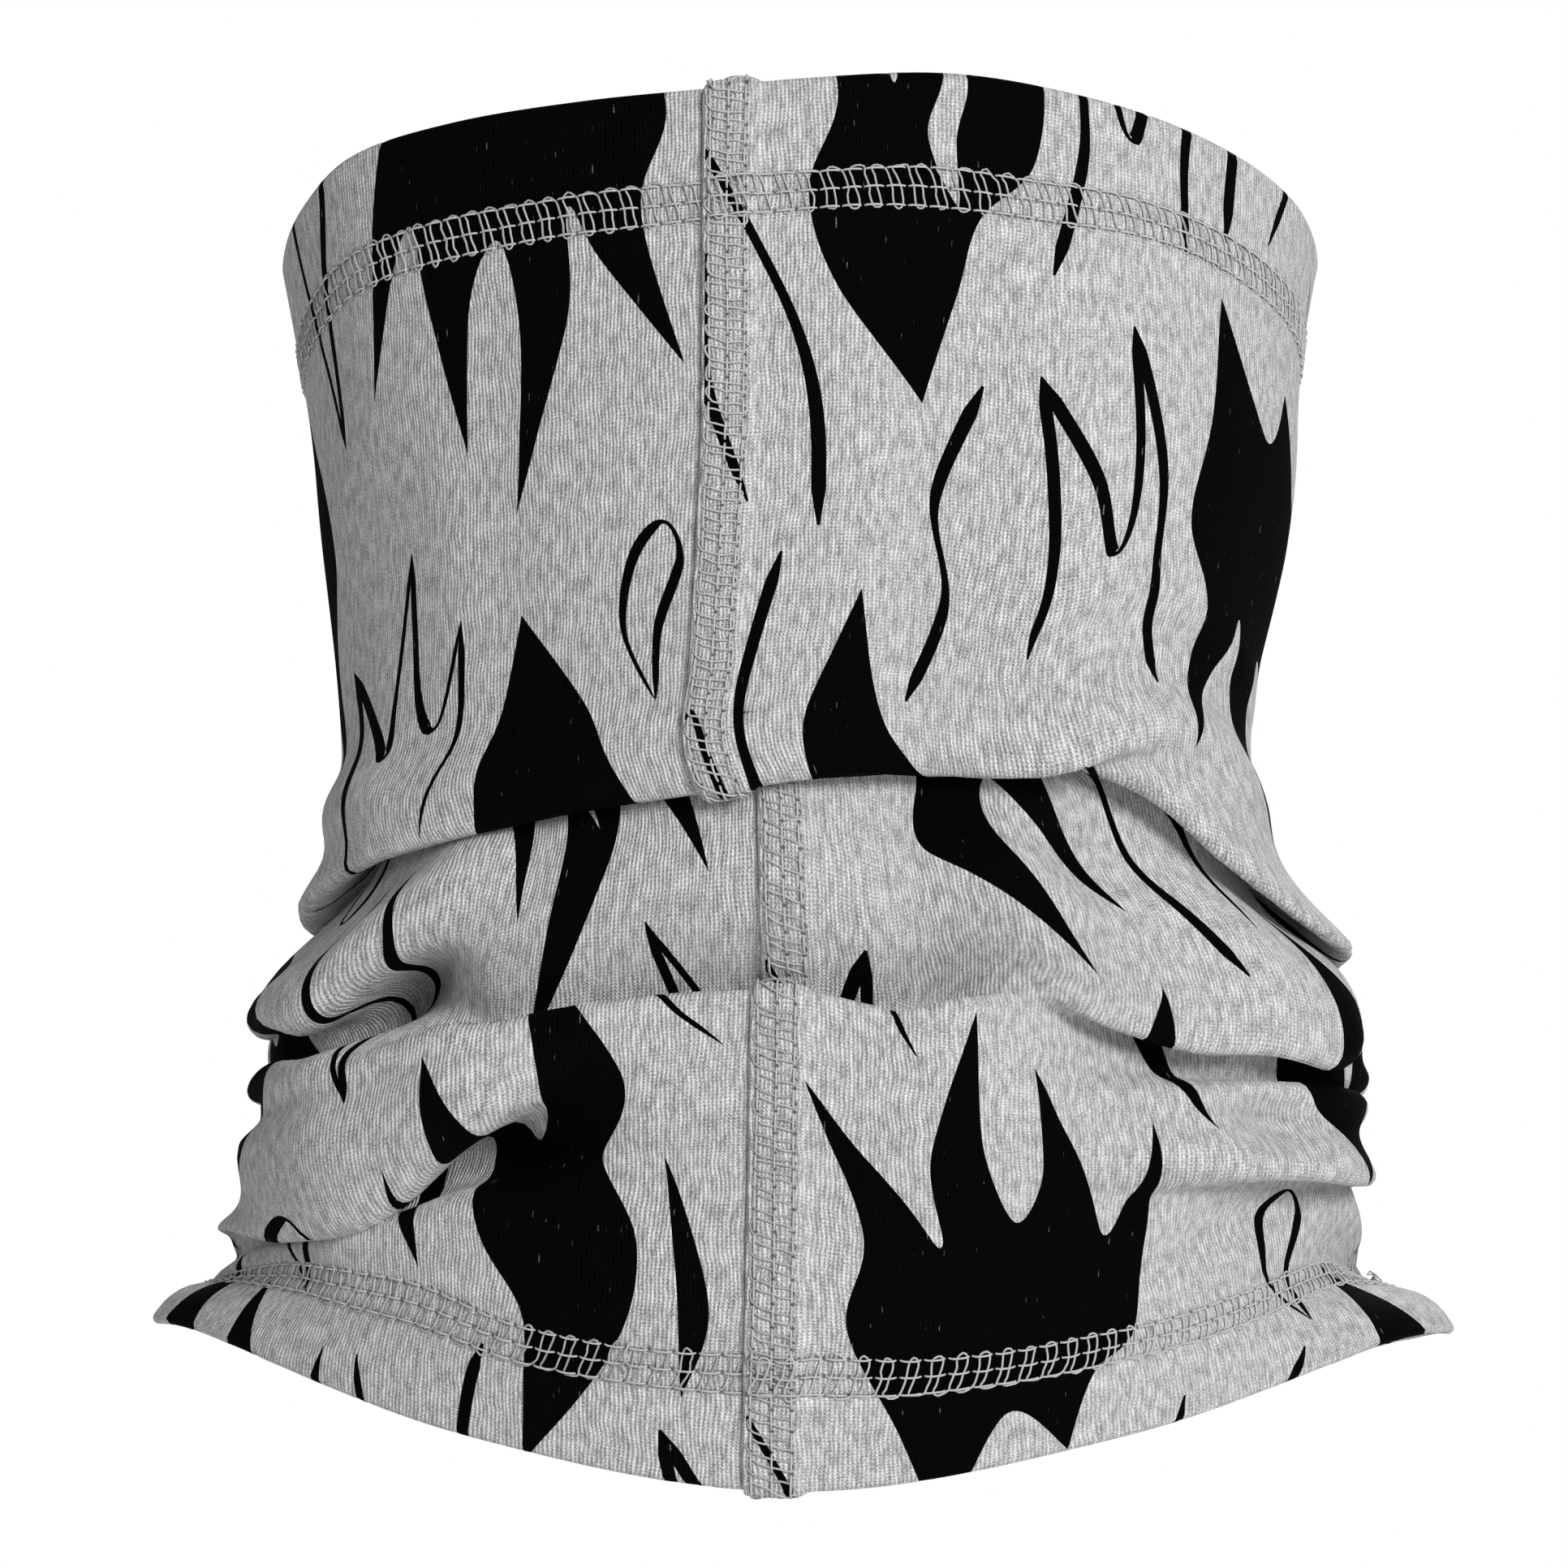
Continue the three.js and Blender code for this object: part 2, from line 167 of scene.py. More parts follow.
# ---------------------------------------------------------------- folds
# Each fold is a turn of the cloth's direction over a stretch of its length, in rows of
# (share of girth, where it starts along the cloth, length of cloth in the turn, degrees).
# A turn of -180 tucks the cloth back up behind itself; +180 brings it up in front.
FOLDS = {
    # swelling above the lip
    "lip_swell": [(-0.33, 92, 14, 0), (-0.24, 92, 16, 20), (-0.16, 96, 20, 26), (-0.05, 98, 20, 14),
        (0.03, 96, 20, 20), (0.09, 96, 18, 34), (0.15, 98, 18, 26), (0.22, 104, 18, 20),
        (0.3, 106, 16, 14), (0.36, 106, 16, 0)],
    "ridge_valley": [(0.0, 82, 12, 0), (0.05, 80, 14, -12), (0.12, 82, 14, -26), (0.18, 88, 12, -14),
        (0.23, 90, 12, 0)],
    "side_notch_left": [(-0.36, 104, 11, 0), (-0.30, 102, 12, -60), (-0.255, 102, 12, -56),
        (-0.215, 104, 11, 0)],
    "lip": [(-0.30, 128, 12, 0), (-0.26, 126, 12, -40), (-0.225, 123, 13, -105), (-0.19, 120, 16, -160),
        (-0.15, 118, 22, -178), (0.0, 118, 25, -178), (0.04, 116, 19, -178), (0.075, 113.5, 16, -165),
        (0.10, 112, 13, -90), (0.12, 110, 12, -45), (0.16, 108, 12, 0)],
    "lip_out_left": [(-0.34, 116, 11, 0), (-0.27, 114, 12, 34), (-0.23, 112, 11, 20), (-0.18, 112, 11, 0)],
    "right_roll": [(0.075, 118, 12, 0), (0.095, 119, 13, -60), (0.12, 123, 16, -125),
        (0.15, 130, 22, -160), (0.20, 138, 22, -160), (0.235, 144, 14, -95), (0.27, 146, 12, -45),
        (0.34, 148, 12, 0)],
    "middle_out": [(-0.22, 150, 20, 0), (-0.15, 148, 30, 18), (0.0, 148, 34, 17), (0.06, 150, 30, 20),
        (0.13, 158, 20, 18), (0.24, 168, 18, 30), (0.3, 168, 16, 20), (0.36, 168, 16, 0)],
    "left_roll_in": [(-0.31, 162, 11, 0), (-0.26, 162, 12, -40), (-0.21, 168, 15, -80),
        (-0.165, 174, 18, -112), (-0.135, 176, 16, -80), (-0.11, 178, 11, 0)],
    "left_pocket_out": [(-0.31, 184, 11, 0), (-0.26, 184, 12, 40), (-0.21, 188, 15, 90),
        (-0.165, 194, 18, 112), (-0.14, 194, 14, 60), (-0.12, 194, 11, 0)],
    "crest": [(-0.17, 204, 11, 0), (-0.14, 203, 12, 55), (-0.115, 200, 13, 115), (-0.085, 197, 20, 172),
        (0.0, 196, 23, 176), (0.03, 196, 20, 170), (0.055, 196, 14, 100), (0.085, 196, 12, 0)],
    "right_mass_in": [(0.06, 197, 11, 0), (0.09, 197, 12, -80), (0.13, 194, 15, -130), (0.19, 192, 15, -125),
        (0.215, 192, 12, -50), (0.25, 192, 12, 0)],
    "right_shelf_out": [(0.06, 218, 11, 0), (0.09, 217, 11, 26), (0.14, 214, 12, 66), (0.20, 208, 13, 96),
        (0.24, 210, 12, 60), (0.29, 212, 12, 40), (0.35, 216, 12, 0)],
    "right_shelf_in": [(0.06, 238, 11, 0), (0.11, 240, 12, -30), (0.16, 240, 13, -84),
        (0.205, 240, 14, -110), (0.25, 238, 12, -60), (0.30, 238, 12, -40), (0.36, 240, 12, 0)],
    "side_notch_low": [(-0.36, 196, 11, 0), (-0.30, 194, 12, -66), (-0.24, 196, 12, -54),
        (-0.20, 198, 11, 0)],
    "side_low_out": [(-0.36, 212, 11, 0), (-0.30, 210, 12, 62), (-0.24, 212, 12, 58), (-0.19, 212, 12, 24),
        (-0.12, 212, 12, 0)],
    "left_low_in": [(-0.32, 250, 11, 0), (-0.27, 250, 12, -30), (-0.23, 248, 14, -80), (-0.19, 245, 17, -110),
        (-0.15, 240, 19, -125), (-0.12, 234, 18, -125), (-0.095, 229, 15, -100), (-0.075, 226, 12, -40),
        (-0.05, 222, 11, 0)],
    "left_low_out": [(-0.28, 266, 11, 0), (-0.23, 264, 12, 40), (-0.175, 262, 13, 80), (-0.13, 255, 15, 92),
        (-0.10, 248, 14, 74), (-0.075, 242, 12, 34), (-0.05, 238, 11, 0)],
    "corner_left": [(-0.35, 272, 26, 0), (-0.28, 270, 28, 56), (-0.25, 268, 30, 68), (-0.215, 270, 28, 40),
        (-0.16, 272, 26, 0)],
    "corner_right": [(0.16, 272, 26, 0), (0.215, 270, 28, 36), (0.25, 268, 30, 68), (0.28, 270, 28, 56),
        (0.35, 272, 26, 0)],
    # back of the neck: three soft folds
    "back_in_1": [(-0.5, 112, 22, -120), (-0.42, 116, 22, -110), (-0.33, 122, 20, 0), (0.33, 124, 20, 0),
        (0.42, 116, 22, -110)],
    "back_out_1": [(-0.5, 138, 18, 60), (-0.40, 142, 18, 60), (-0.32, 142, 18, 0), (0.34, 146, 18, 0),
        (0.42, 142, 18, 60)],
    "back_in_2": [(-0.5, 172, 22, -80), (-0.42, 172, 22, -120), (-0.33, 174, 20, 0), (0.34, 176, 20, 0),
        (0.42, 172, 22, -120)],
    "back_out_2": [(-0.5, 198, 20, 90), (-0.42, 198, 20, 110), (-0.33, 196, 18, 0), (0.34, 196, 18, 0),
        (0.42, 198, 20, 100)],
    "back_in_3": [(-0.5, 232, 20, -60), (-0.42, 234, 20, -70), (-0.33, 234, 18, 0), (0.36, 234, 18, 0),
        (0.42, 234, 20, -60)],
}
TOP_RIM = [(-0.5, 104), (-0.38, 99), (-0.27, 89), (-0.235, 90), (-0.20, 97), (-0.165, 104.8), (-0.12, 109.2),
    (-0.07, 112), (-0.03, 113.6), (0, 115.2), (0.05, 116.3), (0.10, 112.8), (0.14, 107.8), (0.19, 99.5),
    (0.235, 91), (0.27, 90), (0.38, 99)]
BOTTOM_RIM = [(-0.5, -114), (-0.38, -110), (-0.30, -99), (-0.25, -93.2), (-0.20, -95), (-0.10, -107.6),
    (0, -114.9), (0.10, -107.2), (0.20, -95.8), (0.25, -95), (0.30, -101), (0.38, -111)]
LIP_HEIGHT = [(-0.5, -2), (-0.38, -8), (-0.30, -20), (-0.25, -23), (-0.18, -15), (-0.10, -6), (0, 1),
    (0.08, 5), (0.13, 2), (0.2, -10), (0.25, -22), (0.3, -18), (0.4, -4)]
CREST_HEIGHT = [(-0.5, -50), (-0.38, -52), (-0.25, -60), (-0.15, -50), (-0.10, -40), (0, -36.5), (0.08, -42),
    (0.15, -48), (0.2, -54), (0.3, -56), (0.4, -52)]
LIP_S, CREST_S = 121.0, 213.0
# Soft swellings: share of girth and reach round it, place along the cloth and reach along it, rise.
SWELLS = [
    (0.25, 0.07, 44, 24, 2.0), (-0.195, 0.035, 104, 9, 2.4), (-0.142, 0.03, 136, 6, -3),
    (-0.25, 0.05, 128, 9, -6), (0.25, 0.06, 92, 18, -4), (0.25, 0.05, 146, 8, -4),
    (-0.17, 0.045, 170, 9, 3.5), (-0.145, 0.03, 194, 8, -11), (-0.15, 0.045, 208, 7, 4.5),
    (-0.25, 0.06, 184, 16, 4.5), (-0.25, 0.05, 206, 12, 1.0), (-0.125, 0.045, 226, 9, 4.5),
    (-0.115, 0.045, 247, 8, -7), (-0.25, 0.06, 260, 13, 8.5), (-0.245, 0.05, 275, 7, 5),
    (0.2, 0.04, 150, 9, 2.0), (0.25, 0.05, 204, 9, 6), (0.25, 0.05, 230, 9, -7),
    (0.16, 0.018, 230, 11, -8), (0.14, 0.05, 239, 6, 3.5), (0.16, 0.035, 260, 8, -5),
    (0.25, 0.06, 262, 12, 4.5),
]


def fold_rows(rows, share):
    """Where a fold starts, how long it is and how far it turns, at each share of the girth."""
    rows = np.array(sorted(rows), float)
    if rows[0, 0] == -0.5:
        rows = np.vstack([rows, [0.5, *rows[0, 1:]]])
    share = np.clip(share, rows[0, 0], rows[-1, 0])
    return [smoothed(np.interp(share, rows[:, 0], rows[:, c])) for c in (1, 2, 3)]


def smoothed(values, reach=8):
    """Values round the girth, each averaged with its neighbours."""
    window = np.hanning(2 * reach + 1)
    padded = np.concatenate([values[-reach:], values, values[:reach]])
    return np.convolve(padded, window / window.sum(), "valid")


def fold_turn(share, s):
    """How far the cloth's direction is turned at each place, in radians."""
    turn = np.zeros((len(s), len(share)))
    s = s[:, None]
    for rows in FOLDS.values():
        start, length, degrees = fold_rows(rows, share)
        sharp = smooth(60, 150, np.abs(degrees))
        bend = length / 2 * (1 - sharp) + np.minimum(BEND, length / 2) * sharp
        turn += np.radians(degrees) * (smooth(start, start + bend, s)
                                       - smooth(start + length - bend, start + length, s))
    return turn


SHARES, SHARE_ROWS = 400, 601  # size of the table of the folded form


def folded_form():
    """Points of the worn cloth: a row each half millimetre down it, a column each 1/400 of girth."""
    share = np.arange(SHARES) / SHARES - 0.5
    s = np.linspace(0, PANEL_S, SHARE_ROWS)
    turn = fold_turn(share, s)
    step = s[1] - s[0]

    def total(rate):
        return np.concatenate([np.zeros((1, SHARES)), np.cumsum((rate[1:] + rate[:-1]) / 2 * step, 0)])

    out = total(np.sin(turn))
    out -= out[-1] * (s / PANEL_S)[:, None]
    z = total(-np.cos(turn))
    keys = [0.0, LIP_S, CREST_S, PANEL_S]
    aims = [around(curve, share) for curve in (TOP_RIM, LIP_HEIGHT, CREST_HEIGHT, BOTTOM_RIM)]
    amiss = np.array([aim - z[int(round(key / step))] for key, aim in zip(keys, aims)])
    for j in range(3):
        part = (s >= keys[j]) & (s <= keys[j + 1])
        k = ((s[part] - keys[j]) / (keys[j + 1] - keys[j]))[:, None]
        if j < 2:
            part[int(round(keys[j + 1] / step))] = False
            k = k[:-1]
        z[part] += amiss[j] * (1 - k) + amiss[j + 1] * k
    for middle, reach, at, along, rise in SWELLS:
        aside = (share - middle + 0.5) % 1 - 0.5
        out += rise * np.exp(-((aside / reach) ** 2)) * np.exp(-(((s[:, None] - at) / along) ** 2))
    x, y = form_point(share[None, :], z)
    nx, ny = form_normal(share[None, :], z)
    return np.stack([x + nx * out, y + ny * out, z], -1)


def weights(f):
    """Shares of four neighbouring values in a smooth curve through them, a fraction f past the second."""
    return (((2 - f) * f - 1) * f / 2, ((3 * f - 5) * f * f + 2) / 2, ((4 - 3 * f) * f + 1) * f / 2,
            (f - 1) * f * f / 2)


def cubic(table, row, column):
    """Smooth value of a table at fractional rows and columns. The columns close round the tube."""
    rows, columns = table.shape[:2]
    row = np.clip(row, 0, rows - 1)
    i, j = np.floor(row).astype(int), np.floor(column).astype(int)
    value = 0
    for a, by_row in zip(range(-1, 3), weights(row - i)):
        for b, by_column in zip(range(-1, 3), weights(column - j)):
            value += (by_row * by_column)[..., None] * table[np.clip(i + a, 0, rows - 1), (j + b) % columns]
    return value


SEAM_LINE = [(0, -15), (60, -15.5), (95, -18), (112, -19.5), (121, -16), (140, -8), (190, -5), (205, -7),
             (300, -7.7)]  # along the cloth, and beside the middle of the front


def seam_share(s):
    """Where the seam line lies, as a share of the girth, at a place along the cloth."""
    at, beside = np.array(SEAM_LINE, float).T
    fine = np.linspace(-20, 320, 341)
    line = np.convolve(np.interp(fine, at, beside), np.hanning(17) / np.hanning(17).sum(), "same")
    return np.interp(s, fine, line) / PANEL_U


COLUMNS, ROWS = 250, 401  # size of the table of the cloth's face
FORM = folded_form()


def cloth_points(u, s):
    """Points of the folded cloth, before it settles."""
    share = seam_share(s) + u / PANEL_U
    return cubic(FORM, s / PANEL_S * (SHARE_ROWS - 1), (share + 0.5) * SHARES)


U_TABLE, S_TABLE = np.meshgrid(np.arange(COLUMNS) * PANEL_U / COLUMNS, np.linspace(0, PANEL_S, ROWS))
FACE = cloth_points(U_TABLE, S_TABLE)


def face_normals(points):
    """Directions straight out of the cloth's face, for a table of its points."""
    across = np.roll(points, -1, 1) - np.roll(points, 1, 1)
    down = np.gradient(points, axis=0)
    normal = np.cross(across, -down)
    return normal / np.linalg.norm(normal, axis=-1, keepdims=True)


def new_object(name, data):
    obj = bpy.data.objects.new(name, data)
    bpy.context.collection.objects.link(obj)
    return obj


LARGEST_WAVE = 1.6  # how far the settled cloth may leave its folded form
LEAST_HOLD = 0.06  # how firmly the middle of the cloth is held, where the hems are held at 1
HOLD_STEPS = 20
FREE_FROM, FREE_OVER = 26, 14  # distance from a rim where the hold fades, and length of the fade


def settle(face):
    """Relaxes the folded cloth in a short cloth simulation and keeps the soft waves that it makes."""
    columns, rows, frames = 180, 116, 12
    across, down = np.meshgrid(np.arange(columns) / columns * COLUMNS, np.linspace(0, ROWS - 1, rows))
    start = cubic(face, down, across)
    number = np.arange(columns * rows).reshape(rows, columns)
    beside = np.roll(number, -1, 1)
    quads = np.stack([number[:-1], number[1:], beside[1:], beside[:-1]], -1).reshape(-1, 4)
    mesh = bpy.data.meshes.new("relaxing")
    mesh.from_pydata((start.reshape(-1, 3) * MM).tolist(), [], quads.tolist())
    obj = new_object("relaxing", mesh)
    s = np.repeat(np.linspace(0, PANEL_S, rows), columns)
    hold = 1 - np.clip((np.minimum(s, PANEL_S - s) - FREE_FROM) / FREE_OVER, 0, 1)
    held = obj.vertex_groups.new(name="held")
    for step in range(HOLD_STEPS + 1):
        members = np.flatnonzero(np.round(hold * HOLD_STEPS) == step)
        if len(members):
            held.add(members.tolist(), max(step / HOLD_STEPS, LEAST_HOLD), "REPLACE")
    cloth = obj.modifiers.new("cloth", "CLOTH")
    cloth.point_cache.frame_start, cloth.point_cache.frame_end = 1, frames + 1
    cloth.collision_settings.use_collision = False
    cloth.settings.quality = 5
    cloth.settings.mass = 0.0018
    cloth.settings.air_damping = 4
    cloth.settings.tension_stiffness = cloth.settings.compression_stiffness = 12
    cloth.settings.shear_stiffness = 3
    cloth.settings.bending_stiffness = 12
    cloth.settings.tension_damping = cloth.settings.compression_damping = cloth.settings.shear_damping = 8
    cloth.settings.bending_damping = 1
    cloth.settings.vertex_group_mass = "held"
    cloth.settings.pin_stiffness = 0.5
    cloth.settings.shrink_min = -0.02
    cloth.settings.effector_weights.gravity = 0.3
    scene = bpy.context.scene
    for frame_number in range(1, frames + 1):
        scene.frame_set(frame_number)
    relaxed = obj.evaluated_get(bpy.context.evaluated_depsgraph_get()).to_mesh()
    end = np.empty(columns * rows * 3)
    relaxed.vertices.foreach_get("co", end)
    end = end.reshape(rows, columns, 3) / MM
    scene.frame_set(1)
    bpy.data.objects.remove(obj)
    bpy.data.meshes.remove(mesh)
    normal = face_normals(start)
    wave = ((end - start) * normal).sum(-1)
    window = np.hanning(9)[1:-1] / np.hanning(9).sum()
    for _ in range(2):
        padded = np.concatenate([wave[:, -3:], wave, wave[:, :3]], 1)
        wave = sum(w * padded[:, k:k + columns] for k, w in enumerate(window))
        padded = np.concatenate([wave[:1]] * 3 + [wave] + [wave[-1:]] * 3)
        wave = sum(w * padded[k:k + rows] for k, w in enumerate(window))
    move = normal * np.clip(wave, -LARGEST_WAVE, LARGEST_WAVE)[..., None]
    return face + cubic(move, S_TABLE / PANEL_S * (rows - 1), U_TABLE / PANEL_U * columns)


FACE = settle(FACE)
NORMALS = face_normals(FACE)


def seam_rise(u):
    """How far the seam band stands above the cloth beside it."""
    return SEAM_RISE * (1 - smooth(SEAM_BAND, SEAM_BAND + SEAM_FADE, u)) * (u < PANEL_U / 2)


def dent(u, s):
    """How far the needle rows pull the face in."""
    near = np.minimum(np.abs(s), np.abs(PANEL_S - s))
    hem = sum(np.exp(-(((near - row) / HEM_DENT) ** 2)) for row in HEM_ROWS)
    seam = sum(np.exp(-(((u - row) / SEAM_DENT) ** 2)) for row in SEAM_ROWS)
    return DENT * np.clip(hem + seam, 0, 1)


def skin(u, s, depth=0.0):
    """Point at a depth below the cloth's face. Past either rim it runs round the hem."""
    u, s, depth = np.broadcast_arrays(np.asarray(u, float), np.asarray(s, float), np.asarray(depth, float))
    past = np.maximum(-s, s - PANEL_S)
    arc = math.pi * HEM_TURN
    turned = np.clip(past / HEM_TURN, 0, math.pi)
    inside = np.maximum(past - arc, 0)
    along = np.where(past > 0, np.where(s < 0, inside, PANEL_S - inside), s)
    row, column = along / PANEL_S * (ROWS - 1), u / PANEL_U * COLUMNS
    point = cubic(FACE, row, column)
    normal = cubic(NORMALS, row, column)
    normal /= np.linalg.norm(normal, axis=-1, keepdims=True)
    beyond = cubic(FACE, row + 1, column) - cubic(FACE, row - 1, column)
    beyond /= np.linalg.norm(beyond, axis=-1, keepdims=True)
    beyond *= np.where(s < PANEL_S / 2, -1, 1)[..., None]
    height = HEM_TURN + seam_rise(u) - depth - dent(u, s)
    outward = np.where(past > 0, np.cos(turned) * height - HEM_TURN, height - HEM_TURN)
    onward = np.where(past > 0, np.sin(turned), 0) * height
    return point + normal * outward[..., None] + beyond * onward[..., None]


# ---------------------------------------------------------------- meshes
def make_object(name, vertices, places, faces, materials):
    """A smooth-shaded object from points in mm, each with its place on the cloth or thread."""
    mesh = bpy.data.meshes.new(name)
    mesh.from_pydata([tuple(v) for v in np.asarray(vertices) * MM], [], [tuple(f) for f in faces])
    mesh.update()
    obj = new_object(name, mesh)
    for material in materials:
        mesh.materials.append(material)
    mesh.polygons.foreach_set("use_smooth", [True] * len(mesh.polygons))
    weave = mesh.attributes.new("weave", "FLOAT_VECTOR", "POINT")
    weave.data.foreach_set("vector", places.ravel())
    return obj


U_RANGE = (0.0, PANEL_U + SEAM_BAND - 0.5)
S_RANGE = (-HEM_CLOTH, PANEL_S + HEM_CLOTH)
CLEAR_OF_EDGE = 0.5  # outlines of the print stop this far from the panel's edge


def border_points(spacing):
    """Points round the edge of the flat panel, anticlockwise, with the way out of the panel at each."""
    across = np.linspace(*U_RANGE, round((U_RANGE[1] - U_RANGE[0]) / spacing) + 1)
    down = np.linspace(*S_RANGE, round((S_RANGE[1] - S_RANGE[0]) / spacing) + 1)
    sides = [[(u, S_RANGE[0], 0, -1) for u in across[:-1]], [(U_RANGE[1], s, 1, 0) for s in down[:-1]],
             [(u, S_RANGE[1], 0, 1) for u in across[:0:-1]], [(U_RANGE[0], s, -1, 0) for s in down[:0:-1]]]
    return np.array([p for side in sides for p in side])


def rows_between(start, end, spacing):
    """Even rows from start up to, but not at, end."""
    return np.linspace(start, end, max(round((end - start) / spacing), 1) + 1)[:-1]


def panel_rows(scale):
    """Heights of the rows of cloth points, closer where the cloth is folded and round the rims."""
    stitched = (HEM_ROWS[0] - 2, HEM_ROWS[-1] + 2)
    parts = [(S_RANGE[0], -5, 2.6), (-5, 1.6, 0.55), (1.6, stitched[0], 2.4), (*stitched, 0.8),
             (stitched[1], FOLDED[0], 2.4), (*FOLDED, 1.3), (FOLDED[1], PANEL_S - stitched[1], 2.4),
             (PANEL_S - stitched[1], PANEL_S - stitched[0], 0.8), (PANEL_S - stitched[0], PANEL_S - 1.6, 2.4),
             (PANEL_S - 1.6, PANEL_S + 5, 0.55), (PANEL_S + 5, S_RANGE[1], 2.6)]
    return np.concatenate([rows_between(a, b, step * scale) for a, b, step in parts])[1:]


def triangulate(border, across, scale, loops):
    """Triangles of the flat panel: its border, a grid of points and the outlines of the print."""
    count = len(border)
    points = [tuple(p) for p in border[:, :2]]
    edges = [(k, (k + 1) % count) for k in range(count)]
    band = SEAM_BAND + 3
    columns = np.concatenate([rows_between(U_RANGE[0], band, 0.8 * scale)[1:],
                              rows_between(band, U_RANGE[1], across)])
    grid = np.array([(u, s) for s in panel_rows(scale) for u in columns])
    low = (U_RANGE[0] + CLEAR_OF_EDGE, S_RANGE[0] + CLEAR_OF_EDGE)
    high = (U_RANGE[1] - CLEAR_OF_EDGE, S_RANGE[1] - CLEAR_OF_EDGE)
    for loop in loops:
        inside = ((loop > low) & (loop < high)).all(1)
        start = len(points)
        number = np.cumsum(inside) - 1 + start
        points += [tuple(p) for p in loop[inside]]
        for k in range(len(loop)):
            after = (k + 1) % len(loop)
            if inside[k] and inside[after]:
                edges.append((int(number[k]), int(number[after])))
    points += [tuple(p) for p in grid]
    flat, _, faces, _, _, _ = delaunay_2d_cdt([Vector(p) for p in points], edges, [], 0, 1e-4)
    return np.array([tuple(p) for p in flat]), np.array(faces)


def in_loop(points, loop):
    """Which points lie inside a closed outline."""
    inside = np.zeros(len(points), bool)
    near = np.flatnonzero((points > loop.min(0)).all(1) & (points < loop.max(0)).all(1))
    x, y = points[near].T
    hit = np.zeros(len(near), bool)
    for (x0, y0), (x1, y1) in zip(loop, np.roll(loop, -1, 0)):
        if y0 != y1:
            hit ^= ((y0 > y) != (y1 > y)) & (x < (x1 - x0) * (y - y0) / (y1 - y0) + x0)
    inside[near] = hit
    return inside


def build_cloth(ink, bare, jersey, printed):
    """The whole cloth as one closed mesh: printed face, plain back and rounded raw edges."""
    border = border_points(2.0)
    count = len(border)
    face, face_triangles = triangulate(border, 2.2, 1.0, ink + bare)
    back, back_triangles = triangulate(border, 3.5, 1.7, [])
    points = [skin(face[:, 0], face[:, 1])]
    flat = [face]
    for angle in np.radians((40, 90, 140)):
        reach = CLOTH / 2 * np.sin(angle)
        edge = border[:, :2] + border[:, 2:] * reach
        points.append(skin(edge[:, 0], edge[:, 1], CLOTH / 2 * (1 - np.cos(angle))))
        flat.append(edge)
    points.append(skin(back[:, 0], back[:, 1], CLOTH))
    flat.append(back)
    ring = [np.arange(count)] + [len(face) + k * count + np.arange(count) for k in range(3)]
    base = len(face) + 3 * count
    ring.append(base + np.arange(count))
    faces = [face_triangles[:, ::-1], back_triangles + base]
    for near, far in zip(ring, ring[1:]):
        after_near, after_far = np.roll(near, -1), np.roll(far, -1)
        faces += [np.stack([near, after_near, far], 1), np.stack([after_near, after_far, far], 1)]
    centre = face[face_triangles].mean(1)
    dark = np.zeros(len(centre), bool)
    for loop in ink:
        dark |= in_loop(centre, loop)
    for loop in bare:
        dark &= ~in_loop(centre, loop)
    faces, flat = np.concatenate(faces), np.concatenate(flat)
    places = np.column_stack([flat, np.zeros(len(flat))])
    cloth = make_object("knit_cloth", np.concatenate(points), places, faces, [jersey, printed])
    slots = np.zeros(len(faces), int)
    slots[:len(dark)] = dark
    cloth.data.polygons.foreach_set("material_index", slots)
    return cloth


# ---------------------------------------------------------------- materials
class Nodes:
    """Short ways to add shader nodes to one material."""

    def __init__(self, name):
        self.material = bpy.data.materials.new(name)
        self.material.use_nodes = True
        self.tree = self.material.node_tree
        self.shader = self.tree.nodes["Principled BSDF"]

    def add(self, kind, **settings):
        node = self.tree.nodes.new(kind)
        for key, value in settings.items():
            setattr(node, key, value)
        return node

    def put(self, socket, value):
        if isinstance(value, bpy.types.NodeSocket):
            self.tree.links.new(value, socket)
        else:
            socket.default_value = value

    def math(self, operation, *values):
        node = self.add("ShaderNodeMath", operation=operation)
        for socket, value in zip(node.inputs, values):
            self.put(socket, value)
        return node.outputs[0]

    def plus(self, *values):
        return self.math("ADD", *values)

    def minus(self, *values):
        return self.math("SUBTRACT", *values)

    def times(self, *values):
        return self.math("MULTIPLY", *values)

    def mix(self, share, first, second):
        node = self.add("ShaderNodeMix", data_type="RGBA")
        self.put(node.inputs["Factor"], share)
        self.put(node.inputs["A"], first)
        self.put(node.inputs["B"], second)
        return node.outputs["Result"]

    def noise(self, place, scale, detail=2.0, stretch=(1, 1, 1)):
        mapping = self.add("ShaderNodeMapping")
        self.put(mapping.inputs["Vector"], place)
        mapping.inputs["Scale"].default_value = stretch
        node = self.add("ShaderNodeTexNoise")
        self.put(node.inputs["Vector"], mapping.outputs[0])
        node.inputs["Scale"].default_value = scale
        node.inputs["Detail"].default_value = detail
        return node.outputs["Fac"]

    def ramp(self, value, low, high):
        node = self.add("ShaderNodeMapRange", clamp=True)
        self.put(node.inputs["Value"], value)
        node.inputs["From Min"].default_value = low
        node.inputs["From Max"].default_value = high
        return node.outputs[0]


def grey(value):
    """Linear colour of an sRGB grey from 0 to 255."""
    value /= 255
    linear = value / 12.92 if value <= 0.04045 else ((value + 0.055) / 1.055) ** 2.4
    return (linear, linear, linear, 1)


WALE = 0.68  # width of a column of stitches
COURSE = 0.58  # height of a row of stitches
KNIT_RELIEF, PLY_RELIEF = 0.2, 0.05  # height of the stitches, and of the plies of a thread
DARK_YARN, LIGHT_YARN = 154, 244


